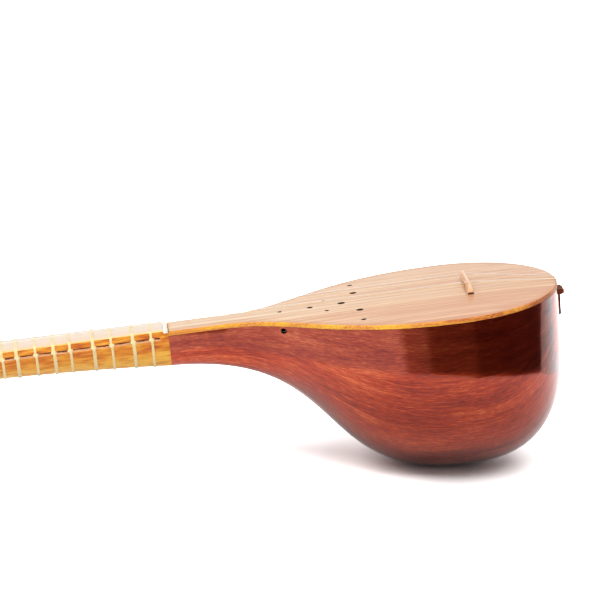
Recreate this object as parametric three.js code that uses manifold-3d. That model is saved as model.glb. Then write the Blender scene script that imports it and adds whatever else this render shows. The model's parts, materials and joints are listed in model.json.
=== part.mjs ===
// A setar: a long-necked lute with a ribbed, pear-shaped bowl, tied gut frets and four strings.
// Lengths are millimetres. The instrument is built flat and then laid on its back as it rests.
// While it is built, +X runs along the strings towards the tail, -Y is the side with the knots,
// z = 0 is the top of the soundboard at its edge, and x = 0 is the joint of neck and bowl.

import * as THREE from 'three';
import { mergeVertices } from 'three/addons/utils/BufferGeometryUtils.js';
import Module from 'manifold-3d';

const wasm = await Module();
wasm.setup();

// Clearances shared by all pieces
const glueGap = 0.15;
const seatGap = 0.3;
const turningGap = 0.1;
const cutOverrun = 4;

// Strings and their places
const scaleLength = 650;
const lastFretRoom = 11.8;
const bridgeSetback = 3.5;
const stringDiameters = [0.3, 0.3, 0.3, 0.45];
const nutSpread = 17;
const bridgeSpread = 27;
const tailSpread = 10;
const stringSpreadShares = [0.5, 0.16, -0.36, -0.5];
const fretOctaveShares = [
  0.075, 0.1167, 0.17, 0.245, 0.2875, 0.34, 0.415, 0.4542, 0.4917, 0.5333, 0.585, 0.66, 0.7025,
  0.755, 0.83, 0.8708, 0.925, 1.02, 1.0667, 1.1283, 1.19, 1.2483, 1.3347, 1.4067, 1.4975, 1.579,
];

// Bowl and soundboard
const bodyLength = 271.5;
const bodyWidth = 154.6;
const bodyDepth = 123.2;
const widestPlaceShare = 0.7219;
const deepestPlaceShare = 0.72;
const throatWidth = 25.9;
const throatDepth = 27.6;
const throatRun = 38;
const keelRun = 1;
const flareLeadShare = 0.312;
const flareRoundShare = 0.561;
const keelLeadShare = 0.632;
const keelRoundShare = 0.554;
const keelLeadRise = 5.2;
const tailReach = -1;
const tailReachDepth = 30;
const tailRoundShare = 0.755;
const tailEndShare = 0.985;
const ribCount = 9;
const ribWall = 3;
const ribSeam = 0.12;
const boardThickness = 3;
const boardCrown = 1.6;

// Sound holes: places as shares of the bowl's length and half width, and their radii. A hole away
// from the middle has a twin on the other side.
const holeAlongShares = [0.2886, 0.3661, 0.4473, 0.4052, 0.4863, 0.4863];
const holeAsideShares = [0, 0, 0, 0.1802, 0.3041, 0.6181];
const holeRadii = [1.6, 2.1, 2.7, 1.5, 2.5, 1.8];
const sideHoleAlongShare = 0.2881;
const sideHoleBelow = 6;
const sideHoleRadius = 2;

// Neck and fingerboard
const nutWidth = 31.6;
const neckDepthAtNut = 20;
const waistRun = 70;
const heelRun = 100;
const fingerboardRise = 1.46;
const fingerboardThickness = 2.2;
const cornerBevel = 0.8;
const grooveBelow = 5.7;
const grooveWidth = 2;
const grooveDepth = 1.3;
const stripLength = 3.2;
const stripRise = 0.6;
const stripOverhang = 0.8;

// Frets: gut wound three times round the neck, or twice where the fret is a thin one
const gutDiameter = 0.75;
const gutPitch = 1.2;
const thickTurns = 3;
const thinTurns = 2;
const knotRadius = 1;
const fretTravel = 2;

// Nut, bridge and tailpiece
const nutLength = 4;
const nutRise = 2.6;
const notchDepth = 0.9;
const notchWidth = 1.1;
const bridgeHeight = 6.8;
const bridgeWidth = 44;
const bridgeFoot = 4.2;
const bridgeTop = 1.9;
const bridgeArch = 3.2;
const bridgeLeg = 8;
const tailpieceWidth = 14;
const tailpieceDrop = 25;
const tailpieceWall = 1.5;
const hookTop = 6.8;
const hookDepth = 4;
const hookReach = 4.2;
const hookNoseShare = 0.6;
const stringRestShare = 0.25;

// Head and pegs
const headLength = 95;
const headWidth = 34;
const headThickness = 21;
const headDrop = 3.5;
const headBevel = 1.6;
const headCorner = 9;
const headStart = 6;
const frontPegPlaces = [62, 30];
const frontPegAsides = [6.5, -1.5];
const sidePegPlaces = [46, 78];
const pegRadius = 4;
const pegTipRadius = 3.3;
const pegWindRoom = 10;
const pegCollar = 2;
const pegCollarRadius = 6;
const pegHandle = 38;
const pegHandleRadius = 9;
const pegFloor = 3;
const pegFluteShare = 0.14;
const windingTurns = 5;
const windingPitch = 0.95;
const windingGap = 0.3;
const windingStartShare = 1 / 3;

// Inner pieces
const neckBlockRun = 40;
const tailBlockShare = 0.72;
const bracePlaceShares = [0.5528, 0.8321];
const braceWidth = 5;
const braceHeight = 8;
const braceEndRoom = 1.4;

// How finely the curves are cut
const foreSteps = 10;
const tailSteps = 12;
const stepsAcrossRib = 2;
const stepsAcrossBoard = 6;
const neckSteps = 14;
const stepsUnderNeck = 8;
const holeSides = 12;
const pegSides = 16;
const tubeSides = 4;
const windingSteps = 10;
const blockSteps = 4;
const bridgeCurveSteps = 8;
const tailpieceSteps = 8;
const headCornerSteps = 5;
const headBevelSteps = 2;
const keelTailSamples = 24;
const halvings = 50;
const gapSamplesPerWidth = 3;
const gapSkipWidths = 6;

// Finishes
const finish = (color, roughness, metalness = 0) =>
  new THREE.MeshStandardMaterial({ color, roughness, metalness });
const finishes = {
  mulberry: finish(0x8a3a22, 0.18),
  board: finish(0xe9c79b, 0.4),
  walnut: finish(0xcf7a2e, 0.25),
  boxwood: finish(0xf1d08a, 0.4),
  bone: finish(0xf4efe2, 0.35),
  gut: finish(0xf3dca6, 0.5),
  rosewood: finish(0x5b2a16, 0.3),
  spruce: finish(0xdcc29a, 0.7),
  steel: finish(0xc9ccd0, 0.3, 0.9),
  bronze: finish(0xc08a4a, 0.3, 0.9),
};

// Main places along the instrument
const soundingEnd = scaleLength * 2 ** -fretOctaveShares.at(-1) - lastFretRoom;
const bridgePlace = soundingEnd + bridgeSetback;
const nutPlace = soundingEnd - scaleLength;
const headPlace = nutPlace - headStart;
const headEnd = headPlace - headLength;
const fingerboardTop = fingerboardRise;
const neckTop = fingerboardTop - fingerboardThickness;
const headTop = -headDrop;
const headBack = headTop - headThickness;
const halfWidth = bodyWidth / 2;
const widestPlace = bodyLength * widestPlaceShare;
const deepestPlace = bodyLength * deepestPlaceShare;
const bracePlaces = bracePlaceShares.map((share) => share * bodyLength);
const sideHolePlace = bodyLength * sideHoleAlongShare;
const instrument = new THREE.Group();

// The last value for which a test still holds, between one where it does and one where it fails
function lastWhere(holds, low, high) {
  for (let i = 0; i < halvings; i += 1) {
    const middle = (low + high) / 2;
    if (holds(middle)) {
      low = middle;
    } else {
      high = middle;
    }
  }
  return low;
}

function place(name, geometry, material) {
  const mesh = new THREE.Mesh(geometry, material);
  mesh.name = name;
  instrument.add(mesh);
  return mesh;
}

// Mesh helpers
function signedVolume(points, faces) {
  const cross = new THREE.Vector3();
  let sum = 0;
  for (const [a, b, c] of faces) {
    cross.crossVectors(points[b], points[c]);
    sum += points[a].dot(cross);
  }
  return sum;
}

function solidOf(points, faces) {
  const outward = signedVolume(points, faces) > 0;
  const indices = faces.flatMap(([a, b, c]) => (outward ? [a, b, c] : [a, c, b]));
  const geometry = new THREE.BufferGeometry();
  geometry.setAttribute('position', new THREE.Float32BufferAttribute(points.flatMap((p) => p.toArray()), 3));
  geometry.setIndex(indices);
  geometry.computeVertexNormals();
  return geometry;
}

// The faces that close one end of a loft, whatever the outline of its ring
function capFaces(ring) {
  const normal = new THREE.Vector3();
  ring.forEach((point, i) => {
    const next = ring[(i + 1) % ring.length];
    normal.x += (point.y - next.y) * (point.z + next.z);
    normal.y += (point.z - next.z) * (point.x + next.x);
    normal.z += (point.x - next.x) * (point.y + next.y);
  });
  normal.normalize();
  const across = ring[1].clone().sub(ring[0]);
  across.addScaledVector(normal, -across.dot(normal)).normalize();
  const up = new THREE.Vector3().crossVectors(normal, across);
  const flat = ring.map((point) => new THREE.Vector2(point.dot(across), point.dot(up)));
  return THREE.ShapeUtils.triangulateShape(flat, []);
}

// A closed body through a row of rings that all have the same number of points
function loft(rings) {
  const count = rings[0].length;
  const faces = [];
  for (let row = 0; row + 1 < rings.length; row += 1) {
    for (let i = 0; i < count; i += 1) {
      const a = row * count + i;
      const b = row * count + (i + 1) % count;
      faces.push([a, b, b + count]);
      faces.push([a, b + count, a + count]);
    }
  }
  const lastRow = (rings.length - 1) * count;
  for (const [a, b, c] of capFaces(rings[0])) {
    faces.push([a, c, b]);
  }
  for (const [a, b, c] of capFaces(rings.at(-1))) {
    faces.push([lastRow + a, lastRow + b, lastRow + c]);
  }
  return solidOf(rings.flat(), faces);
}

// A tube along a route of points, mitred at each one. Radii may change from point to point.
function tube(route, radiusAt) {
  const heading = (i) => route[i + 1].clone().sub(route[i]).normalize();
  const first = heading(0);
  const side = new THREE.Vector3(Math.abs(first.x) > Math.SQRT1_2 ? 0 : 1, 0, 1).cross(first).normalize();
  const other = new THREE.Vector3().crossVectors(first, side);
  let ring = [];
  for (let k = 0; k < tubeSides; k += 1) {
    const angle = (k + 0.5) / tubeSides * 2 * Math.PI;
    const spoke = side.clone().multiplyScalar(Math.cos(angle)).addScaledVector(other, Math.sin(angle));
    ring.push(route[0].clone().addScaledVector(spoke, radiusAt(0)));
  }
  const rings = [ring];
  for (let i = 1; i < route.length; i += 1) {
    const along = heading(i - 1);
    const plane = i + 1 < route.length ? along.clone().add(heading(i)).normalize() : along;
    const growth = radiusAt(i) / radiusAt(i - 1);
    ring = ring.map((point) => {
      const reach = route[i].clone().sub(point).dot(plane) / along.dot(plane);
      const spoke = point.clone().addScaledVector(along, reach).sub(route[i]);
      return route[i].clone().addScaledVector(spoke, growth);
    });
    rings.push(ring);
  }
  return loft(rings);
}

// The least gap of a winding to itself, measured on points along it
function leastGap(route, diameter) {
  const samples = [];
  let travelled = 0;
  for (let i = 0; i + 1 < route.length; i += 1) {
    const length = route[i].distanceTo(route[i + 1]);
    const parts = Math.ceil(gapSamplesPerWidth * length / diameter);
    for (let k = 0; k < parts; k += 1) {
      const point = route[i].clone().lerp(route[i + 1], k / parts);
      samples.push({ point, at: travelled + length * k / parts });
    }
    travelled += length;
  }
  const apart = gapSkipWidths * diameter;
  let least = Infinity;
  for (let i = 0; i < samples.length; i += 1) {
    for (let k = i + 1; k < samples.length; k += 1) {
      if (samples[k].at - samples[i].at > apart) {
        least = Math.min(least, samples[i].point.distanceToSquared(samples[k].point));
      }
    }
  }
  return Math.sqrt(least) - diameter;
}

// Cutting one solid out of another
function manifoldOf(geometry) {
  const bare = geometry.clone();
  bare.deleteAttribute('normal');
  bare.deleteAttribute('uv');
  const merged = mergeVertices(bare);
  const vertProperties = new Float32Array(merged.attributes.position.array);
  const triVerts = new Uint32Array(merged.index.array);
  return new wasm.Manifold(new wasm.Mesh({ numProp: 3, vertProperties, triVerts }));
}

function cut(geometry, tools) {
  let solid = manifoldOf(geometry);
  for (const tool of tools) {
    solid = solid.subtract(manifoldOf(tool));
  }
  const mesh = solid.getMesh();
  const result = new THREE.BufferGeometry();
  result.setAttribute('position', new THREE.BufferAttribute(mesh.vertProperties, 3));
  result.setIndex(new THREE.BufferAttribute(mesh.triVerts, 1));
  result.computeVertexNormals();
  return result;
}

// The bowl's two outlines, each from the throat (0) past the widest place (1) to the tail (2):
// the edge of the soundboard as (x, half width), and the keel as (x, depth)
const foreCurve = (run, from, to, peak, lead, round, rise = 0) => {
  const path = new THREE.CurvePath();
  const span = peak - run;
  path.add(new THREE.LineCurve(new THREE.Vector2(0, from), new THREE.Vector2(run, from)));
  path.add(new THREE.CubicBezierCurve(
    new THREE.Vector2(run, from),
    new THREE.Vector2(run + span * lead, from + rise),
    new THREE.Vector2(peak - span * round, to),
    new THREE.Vector2(peak, to),
  ));
  return path;
};
const edgeFore = foreCurve(
  throatRun, throatWidth / 2, halfWidth, widestPlace, flareLeadShare, flareRoundShare,
);
const keelFore = foreCurve(
  keelRun, throatDepth, bodyDepth, deepestPlace, keelLeadShare, keelRoundShare, keelLeadRise,
);
const keelTail = new THREE.SplineCurve([
  ...Array.from({ length: keelTailSamples + 1 }, (_, i) => {
    const angle = i / keelTailSamples * Math.PI / 2;
    return new THREE.Vector2(
      deepestPlace + (bodyLength + tailReach - deepestPlace) * Math.sin(angle) ** tailRoundShare,
      tailReachDepth + (bodyDepth - tailReachDepth) * Math.max(Math.cos(angle), 0) ** tailRoundShare,
    );
  }),
  ...[1 / 3, 2 / 3, 1].map((share) => new THREE.Vector2(
    bodyLength + tailReach * (1 - share ** 2),
    tailReachDepth + (boardThickness - tailReachDepth) * share,
  )),
]);

function outlinesAt(station) {
  if (station <= 1) {
    return { edge: edgeFore.getPoint(station), keel: keelFore.getPoint(station) };
  }
  const angle = (station - 1) * Math.PI / 2;
  const edge = new THREE.Vector2(
    widestPlace + (bodyLength - widestPlace) * Math.sin(angle),
    halfWidth * Math.cos(angle),
  );
  return { edge, keel: keelTail.getPointAt(station - 1) };
}

// A point of the bowl's outside: angle 0 is the edge on the knots' side, half a turn the far edge
function bowlPoint(station, angle) {
  const { edge, keel } = outlinesAt(station);
  const sine = Math.sin(angle);
  const cosine = Math.cos(angle);
  return new THREE.Vector3(
    edge.x * cosine ** 2 + keel.x * sine ** 2,
    -edge.y * cosine,
    -boardThickness - (keel.y - boardThickness) * sine,
  );
}

// The same point moved inwards, square to the surface
function bowlInside(station, angle, depth) {
  const nudge = 0.01;
  const before = Math.max(station - nudge, 0);
  const after = Math.min(station + nudge, 2 - nudge);
  const lengthwise = bowlPoint(after, angle).sub(bowlPoint(before, angle));
  const around = bowlPoint(station, angle + nudge).sub(bowlPoint(station, angle - nudge));
  const inwards = lengthwise.cross(around).normalize();
  return bowlPoint(station, angle).addScaledVector(inwards, depth);
}

const stations = [
  ...Array.from({ length: foreSteps }, (_, i) => i / foreSteps),
  ...Array.from({ length: tailSteps + 1 }, (_, i) => 1 + tailEndShare * i / tailSteps),
];

// Ribs: bent staves, glued edge to edge from the throat to the tail. Every second one is meshed
// from its other edge, so that the faces on both sides of a seam are split alike.
function ribGeometry(index) {
  const seamAngle = ribSeam / halfWidth;
  const from = index * Math.PI / ribCount + (index > 0 ? seamAngle / 2 : 0);
  const to = (index + 1) * Math.PI / ribCount - (index + 1 < ribCount ? seamAngle / 2 : 0);
  const angles = Array.from(
    { length: stepsAcrossRib + 1 },
    (_, i) => from + (to - from) * i / stepsAcrossRib,
  );
  const ordered = index % 2 === 0 ? angles : angles.toReversed();
  return loft(stations.map((station) => [
    ...ordered.map((angle) => bowlPoint(station, angle)),
    ...ordered.toReversed().map((angle) => bowlInside(station, angle, ribWall)),
  ]));
}

function roundHole(x, y, z, radius, length) {
  return new THREE.CylinderGeometry(radius, radius, length, holeSides)
    .rotateX(Math.PI / 2)
    .translate(x, y, z);
}

for (let index = 0; index < ribCount; index += 1) {
  let geometry = ribGeometry(index);
  if (index === 0) {
    const reach = ribWall + cutOverrun;
    const hole = new THREE.CylinderGeometry(sideHoleRadius, sideHoleRadius, 2 * reach, holeSides)
      .translate(sideHolePlace, -boardHalfWidth(sideHolePlace), -sideHoleBelow);
    geometry = cut(geometry, [hole]);
  }
  place(`rib_${index + 1}`, geometry, finishes.mulberry);
}

// The soundboard's half width and crown at a place along it
function boardHalfWidth(x) {
  const station = lastWhere((at) => outlinesAt(at).edge.x < x, 0, 1 + tailEndShare);
  return outlinesAt(station).edge.y;
}

function crownAt(half, y) {
  return boardCrown * half / halfWidth * (1 - Math.min(Math.abs(y / half), 1) ** 2);
}

// Soundboard: a thin crowned plate over the whole bowl
function soundboardGeometry() {
  const rings = stations.map((station, row) => {
    const { edge } = outlinesAt(station);
    const x = row === 0 ? edge.x + glueGap : edge.x;
    const shares = Array.from({ length: stepsAcrossBoard + 1 }, (_, i) => 2 * i / stepsAcrossBoard - 1);
    const top = shares.map((share) => {
      const y = share * edge.y;
      return new THREE.Vector3(x, y, crownAt(edge.y, y));
    });
    const underside = top.toReversed().map((point) => {
      const lower = point.clone();
      lower.z -= boardThickness - glueGap;
      return lower;
    });
    return [...top, ...underside];
  });
  const drill = 2 * (boardThickness + boardCrown + cutOverrun);
  const tools = holeRadii.flatMap((radius, i) => {
    const along = bodyLength * holeAlongShares[i];
    const aside = halfWidth * holeAsideShares[i];
    const sides = aside > 0 ? [-aside, aside] : [0];
    return sides.map((y) => roundHole(along, y, 0, radius, drill));
  });
  return cut(loft(rings), tools);
}
place('soundboard', soundboardGeometry(), finishes.board);

// Inner blocks: solid pieces that fill the bowl's two ends
function plugGeometry(fromStation, toStation) {
  const inset = ribWall + seatGap;
  const rings = Array.from({ length: blockSteps + 1 }, (_, row) => {
    const station = fromStation + (toStation - fromStation) * row / blockSteps;
    return Array.from({ length: ribCount + 1 }, (_, i) => {
      const point = bowlInside(station, i * Math.PI / ribCount, inset);
      point.x = Math.max(point.x, 0);
      point.z = Math.min(point.z, -boardThickness - seatGap);
      return point;
    });
  });
  return loft(rings);
}
const neckBlockStation = neckBlockRun / edgeFore.getLength();
place('neck_block', plugGeometry(0, neckBlockStation), finishes.spruce);
place('tail_block', plugGeometry(1 + tailBlockShare, 1 + tailEndShare), finishes.spruce);

// Braces: bars glued across the underside of the soundboard
function braceGeometry(x) {
  const edgeHalf = Math.min(boardHalfWidth(x - braceWidth / 2), boardHalfWidth(x + braceWidth / 2));
  const half = edgeHalf - ribWall - braceEndRoom;
  const rings = Array.from({ length: stepsAcrossBoard + 1 }, (_, i) => {
    const y = half * (2 * i / stepsAcrossBoard - 1);
    const top = crownAt(edgeHalf, y) - boardThickness - seatGap;
    return [[-1, 0], [1, 0], [1, -1], [-1, -1]].map(([side, level]) => new THREE.Vector3(
      x + side * braceWidth / 2,
      y,
      top + level * braceHeight,
    ));
  });
  return loft(rings);
}
bracePlaces.forEach((x, i) => place(`brace_${i + 1}`, braceGeometry(x), finishes.spruce));

// The neck's half width and depth below the fingerboard's top, at a place along it
function neckHalfAt(x) {
  return nutWidth / 2 - (nutWidth - throatWidth) / 2 * Math.exp(x / waistRun);
}

function neckDepthAt(x) {
  const heelDepth = throatDepth + fingerboardTop;
  return neckDepthAtNut + (heelDepth - neckDepthAtNut) * Math.exp(x / heelRun);
}

// Points under the neck, from the far side round to the knots' side
function underNeck(half, depth, grow) {
  const count = stepsUnderNeck - 1;
  return Array.from({ length: count }, (_, i) => {
    const angle = (i + 1) / stepsUnderNeck * Math.PI;
    return new THREE.Vector2(
      (half + grow) * Math.cos(angle),
      neckTop - (depth - fingerboardThickness + grow) * Math.sin(angle),
    );
  });
}

// How far the neck's side stands out at a height between its top and the first point below it
function neckSideAt(half, depth, z) {
  const lowest = underNeck(half, depth, 0).at(-1);
  return half - (half + lowest.x) * (neckTop - z) / (neckTop - lowest.y);
}

// A fret's stretch of the neck, with its knot beside its last turn
const fretSpan = (turns) => turns * gutPitch + gutDiameter / 2 + 2 * knotRadius;
const turnsOf = (i) => (i % 2 === 0 ? thickTurns : thinTurns);

// The groove runs on for as far as the last fret's knot can slide, then closes
const grooveHeight = fingerboardTop - grooveBelow;
const lastSpan = fretSpan(turnsOf(fretOctaveShares.length - 1));
const grooveStop = -lastFretRoom + lastSpan / 2 + fretTravel;
const grooveClosed = grooveStop + grooveWidth / 2;
const neckStations = Array.from({ length: neckSteps + 1 }, (_, i) => {
  const share = (i / neckSteps) ** 2;
  return -glueGap + (headPlace + glueGap) * share;
});

// Neck: a rounded bar with a narrow groove for the frets' knots along one side
function neckGeometry() {
  const places = [
    ...neckStations.filter((x) => x > grooveClosed),
    grooveClosed,
    grooveStop,
    ...neckStations.filter((x) => x < grooveStop),
  ];
  return loft(places.map((x) => {
    const half = neckHalfAt(x);
    const depth = neckDepthAt(x);
    const open = x < grooveClosed ? grooveDepth : 0;
    const lip = (level, sunk) => {
      const z = grooveHeight + level * grooveWidth / 2;
      return new THREE.Vector3(x, -neckSideAt(half, depth, z) + sunk, z);
    };
    return [
      new THREE.Vector3(x, -half, neckTop),
      new THREE.Vector3(x, half, neckTop),
      ...underNeck(half, depth, 0).map((point) => new THREE.Vector3(x, point.x, point.y)),
      lip(-1, 0),
      lip(-0.6, open),
      lip(0.6, open),
      lip(1, 0),
    ];
  }));
}
place('neck', neckGeometry(), finishes.walnut);

// Fingerboard: a thin pale plate on the neck, bevelled along its upper edges
function fingerboardGeometry() {
  const from = nutPlace + glueGap;
  const to = -stripLength - 2 * glueGap;
  const between = neckStations.filter((x) => x < to - glueGap && x > from + glueGap);
  return loft([to, ...between, from].map((x) => {
    const half = neckHalfAt(x);
    const low = neckTop + glueGap;
    return [
      [-half, low],
      [half, low],
      [half, fingerboardTop - cornerBevel],
      [half - cornerBevel, fingerboardTop],
      [-half + cornerBevel, fingerboardTop],
      [-half, fingerboardTop - cornerBevel],
    ].map(([y, z]) => new THREE.Vector3(x, y, z));
  }));
}
place('fingerboard', fingerboardGeometry(), finishes.boxwood);

function blockBetween(low, high) {
  const size = high.clone().sub(low);
  return new THREE.BoxGeometry(size.x, size.y, size.z)
    .translate((low.x + high.x) / 2, (low.y + high.y) / 2, (low.z + high.z) / 2);
}

// Bone strip that ends the fingerboard at the bowl
const stripHalf = neckHalfAt(-stripLength) + stripOverhang;
place('end_strip', blockBetween(
  new THREE.Vector3(-stripLength - glueGap, -stripHalf, neckTop + glueGap),
  new THREE.Vector3(-glueGap, stripHalf, fingerboardTop + stripRise),
), finishes.bone);

// Frets: each one is a single length of gut, wound round the neck and knotted over the groove
function fretRoute(x, turns) {
  const reach = fretTravel + turns * gutPitch;
  const half = neckHalfAt(x - reach);
  const depth = neckDepthAt(x + reach);
  const grow = gutDiameter / 2 + seatGap;
  const corner = cornerBevel - grow * Math.tan(Math.PI / 8);
  const side = neckSideAt(half, depth, grooveHeight) + grow;
  const loop = [
    [-side, grooveHeight],
    [-half - grow, fingerboardTop - corner],
    [-half + corner, fingerboardTop + grow],
    [half - corner, fingerboardTop + grow],
    [half + grow, fingerboardTop - corner],
    ...underNeck(half, depth, grow).map((point) => [point.x, point.y]),
  ];
  const steps = turns * loop.length;
  const start = x - fretSpan(turns) / 2;
  const winding = Array.from({ length: steps }, (_, i) => {
    const [y, z] = loop[i % loop.length];
    return new THREE.Vector3(start + i * gutPitch / loop.length, y, z);
  });
  const lipReach = knotRadius + seatGap;
  const knotOut = Math.sqrt(Math.max(lipReach ** 2 - grooveWidth ** 2 / 4, 0));
  const knotX = start + turns * gutPitch + knotRadius + gutDiameter / 2;
  const knotY = -side + grow - Math.max(knotOut, grow);
  const knotShares = [-1.4, -0.7, 0, 0.7, 1.1];
  const knot = knotShares.map((share) => new THREE.Vector3(knotX, knotY, grooveHeight + share * knotRadius));
  return { winding, route: [...winding, ...knot] };
}

function fretGeometry({ winding, route }) {
  const knotRadiusShares = [0, 0.75, 1, 0.75, 0.3];
  return tube(route, (i) => {
    const share = knotRadiusShares[i - winding.length] ?? 0;
    return Math.max(share * knotRadius, gutDiameter / 2);
  });
}

let leastFretGap = Infinity;
fretOctaveShares.forEach((octaves, i) => {
  const x = nutPlace + scaleLength * (1 - 2 ** -octaves);
  const fret = fretRoute(x, turnsOf(i));
  leastFretGap = Math.min(leastFretGap, leastGap(fret.winding, gutDiameter));
  place(`fret_${i + 1}`, fretGeometry(fret), finishes.gut);
});
console.log(`least gap of a fret's winding to itself: ${leastFretGap.toFixed(2)} mm`);

// Where each string crosses the nut and the bridge
const nutTopHeight = fingerboardTop + nutRise;
const boardUnderBridge = crownAt(boardHalfWidth(bridgePlace), 0);
const bridgeTopHeight = boardUnderBridge + glueGap + bridgeHeight;
const nutStringPlaces = stringSpreadShares.map((share) => share * nutSpread);
const bridgeStringPlaces = stringSpreadShares.map((share) => share * bridgeSpread);
const tailStringPlaces = stringSpreadShares.map((share) => share * tailSpread);

function notches(places, x, top) {
  return places.map((y) => blockBetween(
    new THREE.Vector3(x - bridgeFoot, y - notchWidth / 2, top - notchDepth),
    new THREE.Vector3(x + bridgeFoot, y + notchWidth / 2, top + cutOverrun),
  ));
}

// Nut: a notched bone bar between fingerboard and head
const nutHalf = neckHalfAt(nutPlace - nutLength);
const nutBar = blockBetween(
  new THREE.Vector3(nutPlace - nutLength, -nutHalf, neckTop + glueGap),
  new THREE.Vector3(nutPlace, nutHalf, nutTopHeight),
);
place('nut', cut(nutBar, notches(nutStringPlaces, nutPlace, nutTopHeight)), finishes.bone);

// Bridge: a small arched bar that stands on the soundboard, thinner towards its top
function bridgeGeometry() {
  const half = bridgeWidth / 2;
  const shoulder = half - bridgeFoot;
  const shape = new THREE.Shape();
  shape.moveTo(-half, 0);
  shape.lineTo(-half + bridgeLeg, 0);
  shape.quadraticCurveTo(0, 2 * bridgeArch, half - bridgeLeg, 0);
  shape.lineTo(half, 0);
  shape.quadraticCurveTo(half, bridgeHeight, shoulder, bridgeHeight);
  shape.lineTo(-shoulder, bridgeHeight);
  shape.quadraticCurveTo(-half, bridgeHeight, -half, 0);
  const body = new THREE.ExtrudeGeometry(shape, {
    depth: bridgeFoot,
    bevelEnabled: false,
    curveSegments: bridgeCurveSteps,
  });
  body.translate(0, 0, -bridgeFoot / 2);
  const boardHalf = boardHalfWidth(bridgePlace);
  const position = body.attributes.position;
  for (let i = 0; i < position.count; i += 1) {
    const y = position.getX(i);
    const height = position.getY(i);
    const rise = height / bridgeHeight;
    const thin = 1 - rise * (1 - bridgeTop / bridgeFoot);
    const foot = crownAt(boardHalf, y) * (1 - rise) + boardUnderBridge * rise;
    position.setXYZ(i, bridgePlace + position.getZ(i) * thin, y, foot + glueGap + height);
  }
  return cut(body, notches(bridgeStringPlaces, bridgePlace, bridgeTopHeight));
}
place('bridge', bridgeGeometry(), finishes.boxwood);

// Tailpiece: a curved plate on the tail end, with a hooked lip that the strings loop over
const hookNose = -hookTop - hookDepth * hookNoseShare;
function tailpieceGeometry() {
  const rings = Array.from({ length: tailpieceSteps + 1 }, (_, i) => {
    const y = (i / tailpieceSteps - 1 / 2) * tailpieceWidth;
    const lipTop = tailFaceAt(y, hookTop);
    const lipLow = tailFaceAt(y, hookTop + hookDepth);
    const foot = tailFaceAt(y, tailpieceDrop);
    return [
      [lipTop, -hookTop],
      [lipTop + hookReach, -hookTop],
      [lipLow + hookReach, hookNose],
      [lipLow + tailpieceWall, -hookTop - hookDepth],
      [foot + tailpieceWall, -tailpieceDrop],
      [foot, -tailpieceDrop],
      [lipLow, -hookTop - hookDepth],
    ].map(([x, z]) => new THREE.Vector3(x, y, z));
  });
  return loft(rings);
}

// The bowl's tail face at a place to the side and below the board, plus the seat gap
function tailFaceAt(y, below) {
  const down = Math.max(below - boardThickness, 0);
  const sineAt = (station) => down / (outlinesAt(station).keel.y - boardThickness);
  const inside = (station) => (y / outlinesAt(station).edge.y) ** 2 + sineAt(station) ** 2 < 1;
  const station = lastWhere(inside, 1, 1 + tailEndShare);
  const { edge, keel } = outlinesAt(station);
  return edge.x + (keel.x - edge.x) * sineAt(station) ** 2 + seatGap;
}
place('tailpiece', tailpieceGeometry(), finishes.rosewood);

// Head: a bevelled block with a tapered hole for each peg
function headOutline() {
  const half = headWidth / 2;
  const joint = headPlace - glueGap;
  const shape = new THREE.Shape();
  shape.moveTo(joint, -half);
  shape.lineTo(joint, half);
  shape.lineTo(headEnd + headCorner, half);
  shape.quadraticCurveTo(headEnd, half, headEnd, half - headCorner);
  shape.lineTo(headEnd, -half + headCorner);
  shape.quadraticCurveTo(headEnd, -half, headEnd + headCorner, -half);
  return shape;
}

// A peg stands along +Z with its tip at z = 0 and turns in a hole of the same taper
function pegRings(shaft) {
  const handleShares = [
    [0, 0.42], [0.1, 0.5], [0.3, 0.78], [0.55, 1], [0.78, 0.9], [0.93, 0.55], [1, 0.25],
  ];
  const fluted = [0.3, 0.93];
  const profile = [
    [0, pegTipRadius],
    [shaft, pegRadius],
    [shaft, pegCollarRadius],
    [shaft + pegCollar, pegCollarRadius],
    ...handleShares.map(([along, out]) => [shaft + pegCollar + along * pegHandle, out * pegHandleRadius]),
  ];
  return profile.map(([z, radius]) => {
    const along = (z - shaft - pegCollar) / pegHandle;
    const grooved = along >= fluted[0] && along <= fluted[1];
    return Array.from({ length: pegSides }, (_, k) => {
      const angle = k / pegSides * 2 * Math.PI;
      const out = grooved && k % 2 === 1 ? radius * (1 - pegFluteShare) : radius;
      return new THREE.Vector3(out * Math.cos(angle), out * Math.sin(angle), z);
    });
  });
}

function pegHole(depth) {
  const growth = (radius) => (radius + turningGap) / Math.cos(Math.PI / pegSides);
  const taper = (pegRadius - pegTipRadius) / (depth + pegWindRoom);
  const length = depth + seatGap + cutOverrun;
  const low = growth(pegTipRadius - taper * seatGap);
  const high = growth(pegTipRadius + taper * (depth + cutOverrun));
  return new THREE.CylinderGeometry(high, low, length, pegSides)
    .rotateX(Math.PI / 2)
    .translate(0, 0, length / 2 - seatGap);
}

const frontDepth = headThickness - pegFloor;
const sideDepth = headWidth - pegFloor;
const sidePegHeight = (headTop + headBack) / 2;
const pegSeats = [
  ...frontPegPlaces.map((along, i) => ({
    origin: new THREE.Vector3(nutPlace - along, frontPegAsides[i], headTop - frontDepth),
    turn: 0,
    depth: frontDepth,
  })),
  ...sidePegPlaces.map((along) => ({
    origin: new THREE.Vector3(nutPlace - along, -headWidth / 2 + sideDepth, sidePegHeight),
    turn: Math.PI / 2,
    depth: sideDepth,
  })),
];

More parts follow.
